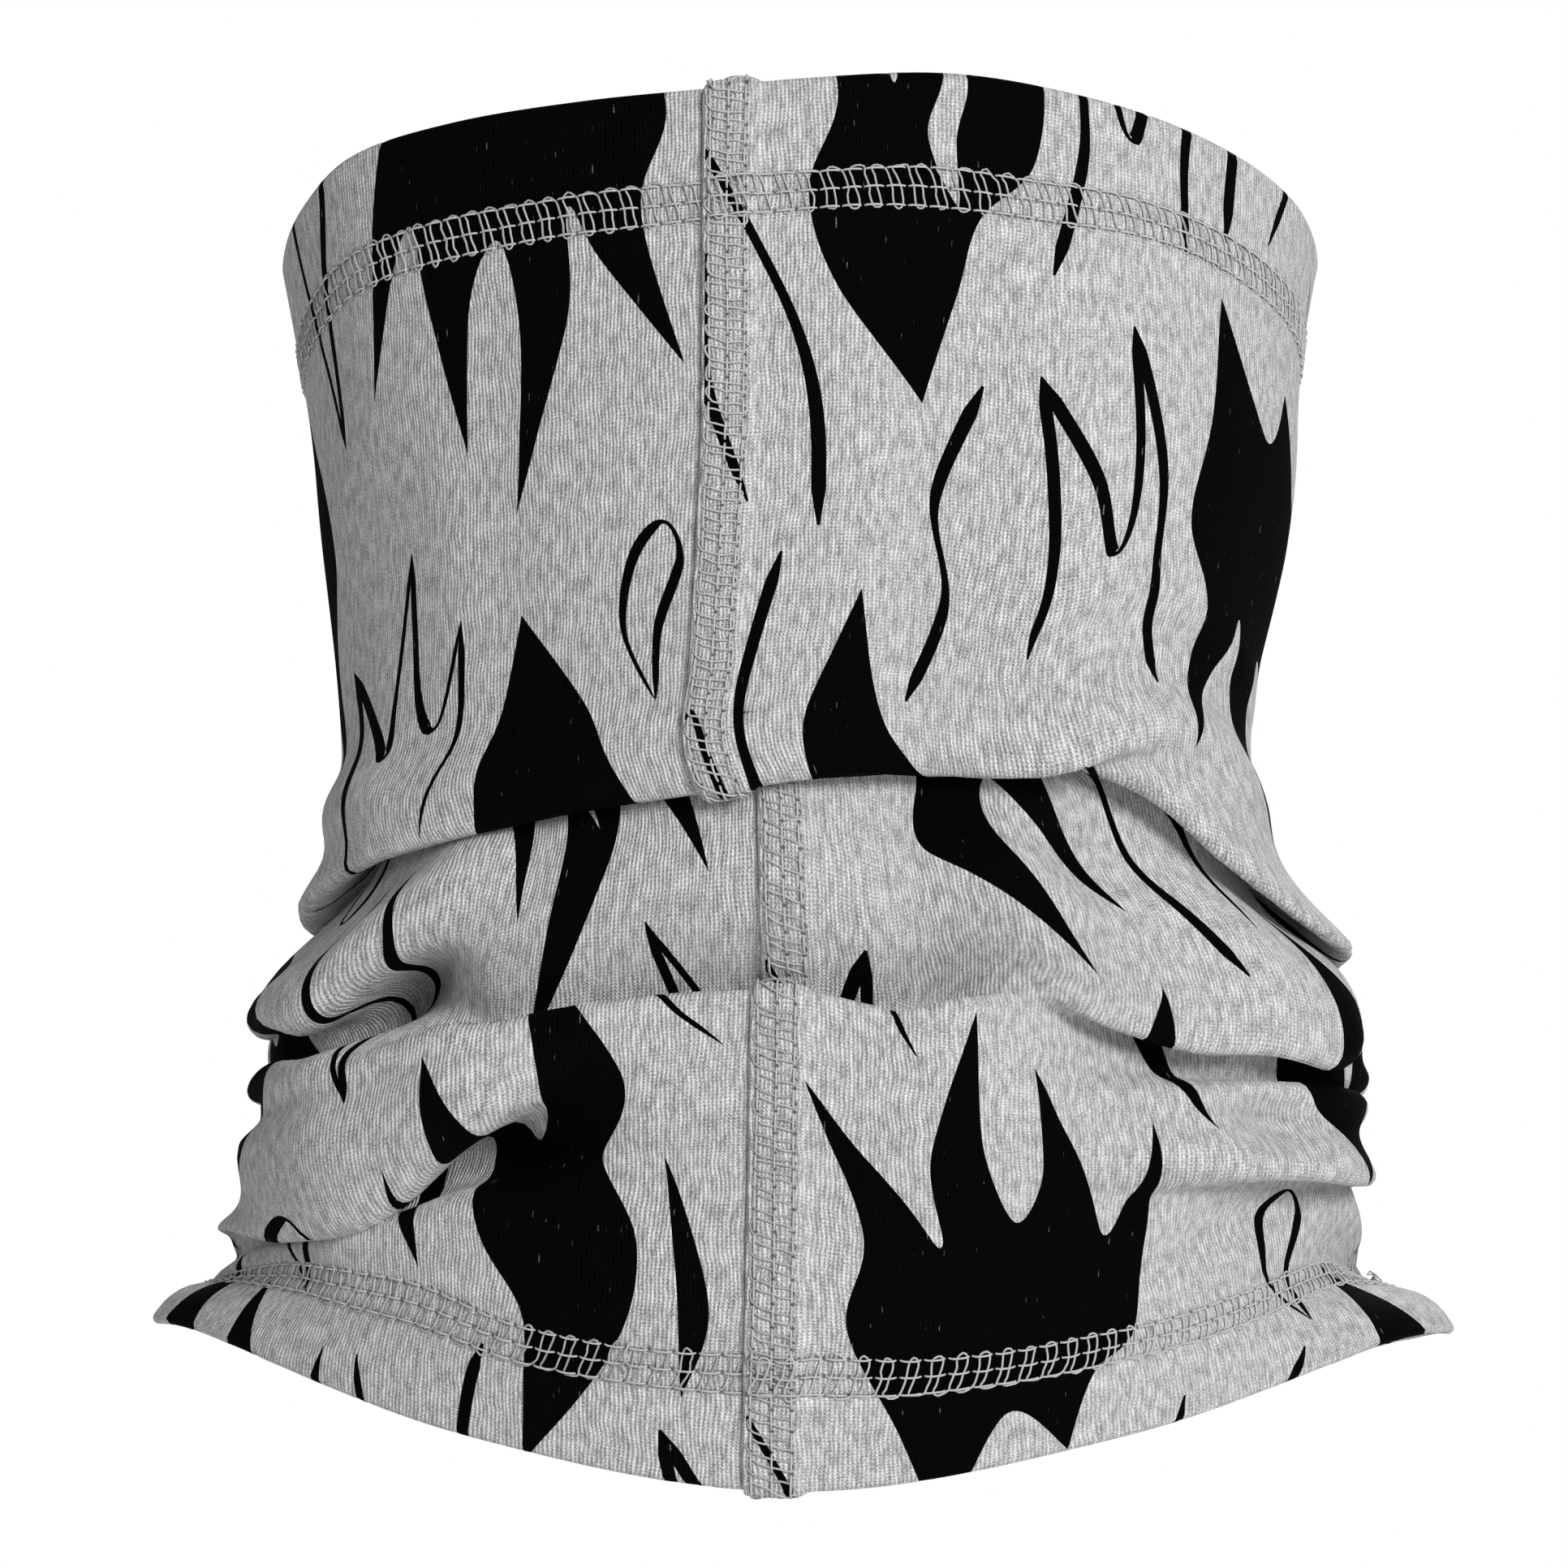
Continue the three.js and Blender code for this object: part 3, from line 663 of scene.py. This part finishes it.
def weave_place(nodes):
    """The place on the cloth or thread, whole and split."""
    place = nodes.add("ShaderNodeAttribute", attribute_name="weave").outputs["Vector"]
    split = nodes.add("ShaderNodeSeparateXYZ")
    nodes.put(split.inputs[0], place)
    return place, split


def knit_relief(nodes):
    """Height of the jersey's face, in columns of small V stitches, and the place on it, whole and split."""
    place, split = weave_place(nodes)
    wobble = nodes.times(nodes.noise(place, 0.09), 2.2)
    wale = nodes.math("DIVIDE", nodes.plus(split.outputs[0], wobble), WALE)
    side = nodes.math("ABSOLUTE", nodes.minus(nodes.math("FRACT", wale), 0.5))
    slant = nodes.times(side, 1.6)
    course = nodes.plus(nodes.math("DIVIDE", split.outputs[1], COURSE), slant)
    leg = nodes.math("SINE", nodes.times(course, 2 * math.pi))
    column = nodes.math("COSINE", nodes.times(side, 2 * math.pi))
    height = nodes.plus(nodes.times(leg, 0.2), nodes.times(column, 0.5))
    return height, place, split


def off_line(nodes, value, first, pitch, last):
    """Distance of a value from the nearest of evenly spaced lines."""
    step = nodes.math("ROUND", nodes.math("DIVIDE", nodes.minus(value, first), pitch))
    step = nodes.math("MINIMUM", nodes.math("MAXIMUM", step, 0), last)
    line = nodes.plus(nodes.times(step, pitch), first)
    return nodes.math("ABSOLUTE", nodes.minus(value, line))


def needle_row_shade(nodes, split):
    """Strength of the painted shade at the needle rows: a faint shaded groove along each row, and a shaded
    hole at each stitch.
    """
    u, s = split.outputs[0], split.outputs[1]
    from_bottom = nodes.math("ABSOLUTE", nodes.minus(s, PANEL_S))
    rim = nodes.math("MINIMUM", nodes.math("ABSOLUTE", s), from_bottom)
    shade_parts = []
    hem, seam = (rim, HEM_ROWS, u, HEM_START, HEM_STITCHES - 1), (u, SEAM_ROWS, s, SEAM_START, SEAM_STITCHES)
    for across, rows, along, first, last in (hem, seam):
        aside = off_line(nodes, across, rows[0], rows[1] - rows[0], 2)
        hole = off_line(nodes, along, first, STITCH, last)
        reach = nodes.math("SQRT", nodes.plus(nodes.times(aside, aside), nodes.times(hole, hole)))
        # Painted shade: strongest in the needle hole, fading over a little more than half a millimetre.
        shade_parts.append(nodes.minus(1, nodes.ramp(reach, 0.2, 0.62)))
        shade_parts.append(nodes.times(nodes.minus(1, nodes.ramp(aside, 0.1, 0.5)), 0.35))
    darker = [nodes.math("MAXIMUM", *pair) for pair in (shade_parts[:2], shade_parts[2:])]
    return nodes.math("MAXIMUM", *darker)


def jersey_material(name):
    """Jersey of two yarn greys, blended in short streaks and flecks along the wales, with painted shade
    between the stitches and at the needle rows.
    """
    nodes = Nodes(name)
    height, place, split = knit_relief(nodes)
    streaks = nodes.noise(place, 1.0, 3.0, (0.95, 0.3, 1))
    flecks = nodes.noise(place, 1.0, 1.0, (3.6, 2.6, 1))
    blend = nodes.plus(nodes.times(streaks, 0.5), nodes.times(flecks, 0.5))
    colour = nodes.mix(nodes.ramp(blend, 0.37, 0.62), grey(DARK_YARN), grey(LIGHT_YARN))
    # Painted shade: the yarn goes darker towards grey 100 where the knit's face is low, between the stitches.
    colour = nodes.mix(nodes.ramp(height, -0.6, 0.15), nodes.mix(0.5, grey(100), colour), colour)
    # Painted shade at the needle rows: a shaded groove along each row and a shaded hole at each stitch,
    # towards grey 45.
    colour = nodes.mix(nodes.times(needle_row_shade(nodes, split), 0.8), colour, grey(45))
    return finished(nodes, colour, height, KNIT_RELIEF, 0.85, 0.25, 0.15)


def printed_material(name):
    """Black ink on the jersey, worn through in a few short ticks along the wales."""
    nodes = Nodes(name)
    height, place, _ = knit_relief(nodes)
    ticks = nodes.noise(place, 1.0, 0.0, (2.2, 0.3, 1))
    worn = nodes.times(nodes.ramp(ticks, 0.79, 0.84), nodes.ramp(height, 0.0, 0.5))
    colour = nodes.mix(nodes.times(worn, 0.6), grey(3), grey(150))
    return finished(nodes, colour, height, KNIT_RELIEF, 0.8, 0.04)


def finished(nodes, colour, height, relief, rough, shine, sheen=0.0):
    """A material of this colour and relief. rough, shine and sheen say how light spreads on it."""
    nodes.put(nodes.shader.inputs["Base Color"], colour)
    nodes.shader.inputs["Roughness"].default_value = rough
    nodes.shader.inputs["Specular IOR Level"].default_value = shine
    nodes.shader.inputs["Sheen Weight"].default_value = sheen
    bump = nodes.add("ShaderNodeBump")
    bump.inputs["Distance"].default_value = relief * MM
    nodes.put(bump.inputs["Height"], height)
    nodes.put(nodes.shader.inputs["Normal"], bump.outputs[0])
    return nodes.material


def thread_material(name):
    """Two-ply sewing thread: the plies show as slanted bands along it, in relief and with painted shade in
    the grooves between them.
    """
    nodes = Nodes(name)
    _, split = weave_place(nodes)
    turns = nodes.plus(nodes.times(split.outputs[0], 1.6), split.outputs[1])
    ply = nodes.math("SINE", nodes.times(turns, 4 * math.pi))
    # Painted shade: the thread goes darker towards grey 160 in the grooves between the plies.
    colour = nodes.mix(nodes.ramp(ply, -1.0, 0.2), grey(160), grey(232))
    return finished(nodes, colour, ply, PLY_RELIEF, 0.6, 0.3)


jersey = jersey_material("heather_jersey")
printed = printed_material("printed_jersey")
thread = thread_material("sewing_thread")


# ---------------------------------------------------------------- print
# A plain all-over flame print. Each figure is drawn in mm with its tips up:
# (across, up, 1 at a sharp tip).
SOLID_FLAMES = [
    [(3, -48, 1), (-13, -28, 0), (-19, -10, 0), (-15, 8, 0), (-23, 34, 1), (-9, 16, 0), (-5, 10, 0),
     (-5, 30, 0), (6, 62, 1), (4, 32, 0), (7, 13, 0), (12, 20, 0), (10, 42, 1), (20, 18, 0), (20, -2, 0),
     (11, -14, 0), (8, -28, 0)],
    [(-14, -54, 1), (-20, -30, 0), (-27, -8, 0), (-23, 10, 0), (-31, 38, 1), (-16, 18, 0), (-10, 8, 0),
     (-10, 28, 0), (0, 60, 1), (-1, 30, 0), (3, 12, 0), (9, 22, 0), (10, 48, 1), (18, 20, 0), (21, 6, 0),
     (26, 14, 0), (32, 34, 1), (30, 4, 0), (24, -18, 0), (14, -26, 0), (8, -42, 1), (-2, -30, 0)],
    [(6, -46, 1), (-9, -24, 0), (-14, -4, 0), (-9, 12, 0), (-13, 28, 0), (3, 58, 1), (0, 30, 0),
     (4, 16, 0), (9, 24, 0), (17, 44, 1), (16, 16, 0), (13, -6, 0), (5, -20, 0)],
]
SLOT = [(7, -12, 0), (1, 0, 0), (3, 12, 0), (-2, 26, 1), (7, 12, 0), (6, 0, 0)]
SLIVERS = [
    [(-4, 26, 1), (-7, 6, 0), (4, -24, 1), (-1, 4, 0)],
    [(3, 18, 1), (-3, 4, 0), (2, -12, 0), (-3, -22, 1), (6, -12, 0), (2, 4, 0)],
]
FLAME_LINES = [
    [(-9, -34, 0), (-10, -10, 0), (-5, 12, 0), (7, 46, 1), (3, 14, 0), (5, -8, 0), (1, -28, 0)],
    [(-14, -24, 0), (-13, 0, 0), (-19, 34, 1), (-6, 12, 0), (-1, -4, 0), (3, 10, 0), (0, 46, 1),
     (9, 14, 0), (9, -10, 0), (14, -34, 0)],
    [(-17, -30, 0), (-11, -6, 0), (-16, 24, 1), (-5, 6, 0), (-1, 0, 0), (1, 12, 0), (10, 38, 1),
     (8, 10, 0), (13, 2, 0), (22, 20, 1), (18, -4, 0), (9, -20, 0)],
    [(4, 24, 1), (-6, 8, 0), (-6, -8, 0), (0, -16, 0), (5, -8, 0), (2, 8, 0), (4, 24, 1)],
    [(-6, 30, 1), (1, 10, 0), (-3, -10, 0), (5, -32, 1)],
]
FINE, BROAD = 0.4, 1.4  # least and greatest half width of a nib line
NIB = (0.45, -0.89)  # direction in which a nib line is broadest
TIP_RUN = 7  # length over which a nib line thins towards its ends
CELL = 1.8  # size of the cells that keep figures apart
CELL_MARGIN = 100  # how far the cells go past the panel's corner
PRINT_SEED = 11
SOLID_COLUMNS, SOLID_ROWS = 7, 3  # staggered places of the solid flames
SOLID_APART = (72, 126)
# Which figures fill the gaps, in order, and how many places are tried for each.
FILLING = ((1, 600), (2, 400), (0, 800), (3, 120), (5, 60), (6, 60), (0, 1500), (1, 1500), (4, 900),
           (3, 600), (6, 600))


def spline(points, closed, sharp=()):
    """Smooth line through points, every 1.2 mm or so. It turns a corner at the sharp ones."""
    points = np.asarray(points, float)
    count = len(points)
    line = []
    for k in range(count if closed else count - 1):
        after = (k + 1) % count
        before, beyond = (k - 1) % count, (k + 2) % count
        if not closed:
            before, beyond = max(k - 1, 0), min(k + 2, count - 1)
        if k in sharp:
            before = k
        if after in sharp:
            beyond = after
        start, end = points[k], points[after]
        leave, arrive = (end - points[before]) / 2, (points[beyond] - start) / 2
        steps = max(int(np.hypot(*(end - start)[:2]) / 1.2), 2)
        for x in np.arange(steps) / steps:
            line.append((2 * x**3 - 3 * x**2 + 1) * start + (x**3 - 2 * x**2 + x) * leave
                        + (3 * x**2 - 2 * x**3) * end + (x**3 - x**2) * arrive)
    if not closed:
        line.append(points[-1])
    return np.array(line)


def solid_flame(figure):
    """Outline of a solid flame."""
    figure = np.array(figure, float)
    return [spline(figure[:, :2], True, set(np.flatnonzero(figure[:, 2])))]


def nib_line(points):
    """Outline of a line drawn with a broad nib, thin towards its ends."""
    line = spline(points, False)
    ahead = np.gradient(line, axis=0)
    ahead /= np.linalg.norm(ahead, axis=1, keepdims=True) + 1e-9
    half = FINE + (BROAD - FINE) * abs(ahead @ NIB) ** 4
    run = np.concatenate([[0], np.cumsum(np.hypot(*np.diff(line, axis=0).T))])
    half = half * np.minimum(1, np.minimum(run, run[-1] - run) / TIP_RUN + 0.2)
    side = np.column_stack([-ahead[:, 1], ahead[:, 0]]) * half[:, None]
    return np.concatenate([line + side, (line - side)[::-1]])


def nib_lines(figure):
    """Outlines of the lines of one figure, from tip to tip."""
    cuts = [0, *(k for k in range(1, len(figure) - 1) if figure[k][2]), len(figure) - 1]
    return [nib_line([point[:2] for point in figure[a:b + 1]]) for a, b in zip(cuts, cuts[1:])]


def laid(outlines, rng, u, s, least, most):
    """A figure laid on the panel, its tips up or down, leaning a little."""
    size, mirror = rng.uniform(least, most), rng.choice((-1, 1))
    turn = rng.normal(0, 0.15) + math.pi * (rng.random() < 0.45)
    along, aside = size * math.cos(turn), size * math.sin(turn)
    return [np.column_stack([u + mirror * (x * along - y * aside), s - x * aside - y * along])
            for x, y in (outline.T for outline in outlines)]


def print_outlines():
    """Outlines of the ink and of the bare slots in it: solid flames in staggered rows, others in the gaps."""
    rng = np.random.default_rng(PRINT_SEED)
    ink, bare = [], []
    taken = np.zeros((400, 320), bool)

    def cells(outlines):
        return ((np.concatenate(outlines) + CELL_MARGIN) / CELL).astype(int).T

    def take(outlines):
        across, down = cells(outlines)
        for right in range(-2, 3):
            for below in range(-2, 3):
                taken[across + right, down + below] = True

    apart_u, apart_s = SOLID_APART
    for column in range(SOLID_COLUMNS):
        for row in range(SOLID_ROWS):
            kind = (column + 2 * row + column // 4) % len(SOLID_FLAMES)
            u = 38 + column * apart_u + rng.uniform(-4, 4)
            s = 10 + (row + column % 2 / 2) * apart_s + rng.uniform(-5, 5)
            flames = solid_flame(SOLID_FLAMES[kind]) + solid_flame(SLOT)[:kind == 0]
            flames = laid(flames, rng, u, s, 0.86, 1.0)
            take(flames)
            ink.append(flames[0])
            bare += flames[1:]
    figures = [nib_lines(figure) for figure in FLAME_LINES] + [solid_flame(figure) for figure in SLIVERS]
    for kind, tries in FILLING:
        for _ in range(tries):
            u, s = rng.uniform(0, PANEL_U), rng.uniform(*S_RANGE)
            outlines = laid(figures[kind], rng, u, s, 0.75, 1.15)
            if not taken[tuple(cells(outlines))].any():
                take(outlines)
                ink += outlines
    return ink, bare


# ---------------------------------------------------------------- threads
def sweep(points):
    """Vertices, faces and (along, around, 0) places of a thread along a line."""
    ahead = np.gradient(points, axis=0)
    ahead /= np.linalg.norm(ahead, axis=1, keepdims=True)
    side = np.cross(ahead[0], (0.3, 0.5, 0.8))
    sides_at = []
    for direction in ahead:
        side = side - direction * side.dot(direction)
        side /= math.sqrt(side.dot(side))
        sides_at.append(side)
    across = np.array(sides_at)
    up = np.cross(ahead, across)
    angle = np.arange(THREAD_SIDES) / THREAD_SIDES * 2 * math.pi
    ring = across[:, None] * np.cos(angle)[None, :, None] + up[:, None] * np.sin(angle)[None, :, None]
    vertices = (points[:, None] + ring * THREAD).reshape(-1, 3)
    count = len(points)
    number = np.arange(count * THREAD_SIDES).reshape(count, THREAD_SIDES)
    after = np.roll(number, -1, 1)
    faces = np.stack([number[:-1], after[:-1], after[1:], number[1:]], -1).reshape(-1, 4).tolist()
    faces += [number[0, ::-1].tolist(), number[-1].tolist()]
    run = np.concatenate([[0], np.cumsum(np.linalg.norm(np.diff(points, axis=0), axis=1))])
    place = np.stack([np.repeat(run, THREAD_SIDES), np.tile(np.arange(THREAD_SIDES) / THREAD_SIDES, count),
                      np.zeros(len(vertices))], 1)
    return vertices, faces, place


def thread_piece(name, lines):
    """One thread, from lines of points in mm."""
    vertices, faces, places, start = [], [], [], 0
    for line in lines:
        some, quads, place = sweep(line)
        vertices.append(some)
        places.append(place)
        faces += [[corner + start for corner in quad] for quad in quads]
        start += len(some)
    obj = make_object(name + "_yarn", np.concatenate(vertices), np.concatenate(places), faces, [thread])
    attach(obj, "root")
    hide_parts(name)


# One stitch of each kind: (along in stitches, across from 0 at the first row to 1 at the last, lift in mm).
DASH = [(0.04, 0, -0.45), (0.1, 0, 0.05), (0.26, 0, 0.42), (0.5, 0, 0.5), (0.74, 0, 0.42), (0.9, 0, 0.05),
        (0.96, 0, -0.45)]
COVER = [(0.0, 0, 0.2), (0.12, 0.18, 0.26), (0.3, 0.5, 0.3), (0.36, 0.72, 0.26), (0.42, 1.0, 0.2),
         (0.62, 1.1, 0.14), (0.84, 1.0, 0.2), (0.76, 0.74, 0.26), (0.66, 0.5, 0.3), (0.5, 0.2, 0.26),
         (0.36, 0.0, 0.2), (0.64, -0.09, 0.14)]
LOOPER = [(0.0, 0, 0.2), (0.5, 0.05, 0.3), (0.2, 0.5, 0.26), (0.75, 0.55, 0.3), (0.45, 1.0, 0.2),
          (0.95, 0.95, 0.3), (0.7, 0.5, 0.45)]
OVERLOCK = [(0.0, 0, 0.2), (0.25, 0.6, 0.3), (0.4, 1.05, 0.1), (0.6, 1.05, -0.3), (0.75, 0.6, 0.2)]
# How uneven the stitches are in each of these directions.
LOOSE_DASH, LOOSE_COVER, LOOSE_LOOP = (0.012, 0, 0.02), (0.03, 0.025, 0.02), (0.03, 0.02, 0.02)
# The loose end of the bottom hem's cover thread: (along and across from its last stitch, lift).
LOOSE_END = [(-17.4, 0.0, 0.2), (-17.9, -1.4, 0.9), (-17.2, -2.6, 1.1), (-18.3, -3.9, 0.7),
             (-17.9, -5.2, 0.5)]
CROSSING_LIFT = 0.42
JOIN_START, JOIN_STITCHES = HEM_CLOTH + 3, 68  # where the inner threads' stitches start, and their count


def stitch_line(stitch, count, unevenness, seed):
    """A whole row of one kind of stitch, slightly uneven, as along, across and lift."""
    unit = np.array(stitch)
    row = np.concatenate([unit + (k, 0, 0) for k in range(count)])
    loose = np.random.default_rng(seed).normal(0, 1, row.shape) * unevenness
    return spline(row + loose, False)


def spread(rows, across):
    """Place across a stitch band: 0 to 1 runs from its first row to its last."""
    return rows[0] + (rows[-1] - rows[0]) * across


def over_band(u):
    """Extra lift where a hem's stitches cross the seam's."""
    return CROSSING_LIFT * smooth(-0.8, 0.4, u) * (1 - smooth(7.0, 8.4, u))


def hem_threads(which, at, seed):
    """The five threads of a hem. at turns a distance from the rim into a place along the cloth."""
    for k, (row, name) in enumerate(zip(HEM_ROWS, ("outer", "middle", "inner"))):
        line = stitch_line(DASH, HEM_STITCHES, LOOSE_DASH, seed + k)
        u = HEM_START + line[:, 0] * STITCH
        wander = 0.12 * np.sin(u * 0.21 + seed + k)
        points = skin(u, at(row + wander), -line[:, 2] - over_band(u))
        thread_piece(f"{which}_hem_needle_thread_{name}", [points])
    line = stitch_line(COVER, HEM_STITCHES, LOOSE_COVER, seed + 3)
    u = HEM_START + line[:, 0] * STITCH
    lines = [skin(u, at(spread(HEM_ROWS, line[:, 1])), -line[:, 2] - over_band(u))]
    if which == "bottom":
        tail = spline(LOOSE_END, False)
        lines.append(skin(tail[:, 0] + PANEL_U, at(HEM_ROWS[-1] + 1 + tail[:, 1]), -tail[:, 2]))
    thread_piece(f"{which}_hem_cover_thread", lines)
    line = stitch_line(LOOPER, HEM_STITCHES, LOOSE_LOOP, seed + 4)
    u = HEM_START + line[:, 0] * STITCH
    inside = 2 * HEM_TURN + 2 * seam_rise(u) + line[:, 2]
    thread_piece(f"{which}_hem_looper_thread", [skin(u, at(spread(HEM_ROWS, line[:, 1])), inside)])


def seam_threads():
    """The threads over the seam band, and those that join the two edges inside."""
    for k, (row, name) in enumerate(zip(SEAM_ROWS, ("left", "middle", "right"))):
        line = stitch_line(DASH, SEAM_STITCHES, LOOSE_DASH, 40 + k)
        s = SEAM_START + line[:, 0] * STITCH
        points = skin(row + 0.1 * np.sin(s * 0.17 + k), s, -line[:, 2])
        thread_piece(f"seam_needle_thread_{name}", [points])
    line = stitch_line(COVER, SEAM_STITCHES, LOOSE_COVER, 43)
    points = skin(spread(SEAM_ROWS, line[:, 1]), SEAM_START + line[:, 0] * STITCH, -line[:, 2])
    thread_piece("seam_cover_thread", [points])
    line = stitch_line(LOOPER, JOIN_STITCHES, LOOSE_LOOP, 44)
    u, s = PANEL_U + spread(SEAM_ROWS, line[:, 1]), JOIN_START + line[:, 0] * STITCH
    points = skin(u, s, CLOTH + line[:, 2] + 0.45)
    thread_piece("seam_looper_thread", [points])
    line = stitch_line(DASH, JOIN_STITCHES, LOOSE_DASH, 45)
    points = skin(PANEL_U + SEAM_ROWS[0] - 0.5, JOIN_START + line[:, 0] * STITCH, CLOTH + line[:, 2])
    thread_piece("joining_needle_thread", [points])
    for name, offset, seed in (("upper", 0.0, 46), ("lower", 0.5, 47)):
        line = stitch_line(OVERLOCK, JOIN_STITCHES, LOOSE_LOOP, seed)
        u = PANEL_U + spread((SEAM_ROWS[0], SEAM_BAND - 0.3), line[:, 1])
        points = skin(u, JOIN_START + (line[:, 0] + offset) * STITCH, CLOTH + line[:, 2])
        thread_piece(f"joining_{name}_looper_thread", [points])


cloth = build_cloth(*print_outlines(), jersey, printed)
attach(cloth, "root")
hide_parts("knit_panel")
hem_threads("top", lambda row: row, 10)
hem_threads("bottom", lambda row: PANEL_S - row, 20)
seam_threads()


# ---------------------------------------------------------------- floor, light and camera
FLOOR_SIDE, FLOOR_HEIGHT = 1.7, -0.3  # in metres, like the places of the lights and the camera

pale = Nodes("pale_floor")
pale.shader.inputs["Base Color"].default_value = (0.85, 0.85, 0.85, 1)
pale.shader.inputs["Roughness"].default_value = 0.9
half = FLOOR_SIDE / 2
mesh = bpy.data.meshes.new("floor")
mesh.from_pydata([(-half, -half, 0), (half, -half, 0), (half, half, 0), (-half, half, 0)], [], [(0, 1, 2, 3)])
mesh.materials.append(pale.material)
floor = new_object("floor", mesh)
floor.location = (0, 0, FLOOR_HEIGHT)


def area_light(name, place, size, power):
    """A round soft light at a place, aimed at the origin."""
    light = bpy.data.lights.new(name, "AREA")
    light.shape = "DISK"
    light.size = size
    light.energy = power
    obj = new_object(name, light)
    obj.location = place
    obj.rotation_euler = (-Vector(place)).to_track_quat("-Z", "Y").to_euler()


area_light("key_light", (0.8, -1.35, 0.55), 0.6, 22)
area_light("fill_light", (-1.3, -0.9, 0.25), 0.9, 2.4)
area_light("back_light", (0.3, 1.4, 0.9), 1.0, 16)

world = bpy.data.worlds.new("studio")
bpy.context.scene.world = world
world.use_nodes = True
ambient = world.node_tree.nodes["Background"]
backdrop = world.node_tree.nodes.new("ShaderNodeBackground")
for node, strength in ((ambient, 0.24), (backdrop, 1.0)):
    node.inputs["Color"].default_value = (1, 1, 1, 1)
    node.inputs["Strength"].default_value = strength
seen = world.node_tree.nodes.new("ShaderNodeLightPath")
choose = world.node_tree.nodes.new("ShaderNodeMixShader")
join = world.node_tree.links.new
join(seen.outputs["Is Camera Ray"], choose.inputs[0])
join(ambient.outputs[0], choose.inputs[1])
join(backdrop.outputs[0], choose.inputs[2])
join(choose.outputs[0], world.node_tree.nodes["World Output"].inputs["Surface"])

IMAGE, MIDDLE = 1932, 985  # width of the image, and where the part's middle stands in it
lens = bpy.data.cameras.new("camera")
lens.lens = 130.6
lens.sensor_width = 36
lens.shift_x = (IMAGE / 2 - MIDDLE) / IMAGE
camera = new_object("camera", lens)
camera.location = (0, -1.0, 0)
camera.rotation_euler = (math.pi / 2, 0, 0)
bpy.context.scene.camera = camera
bpy.context.scene.view_settings.view_transform = "Standard"
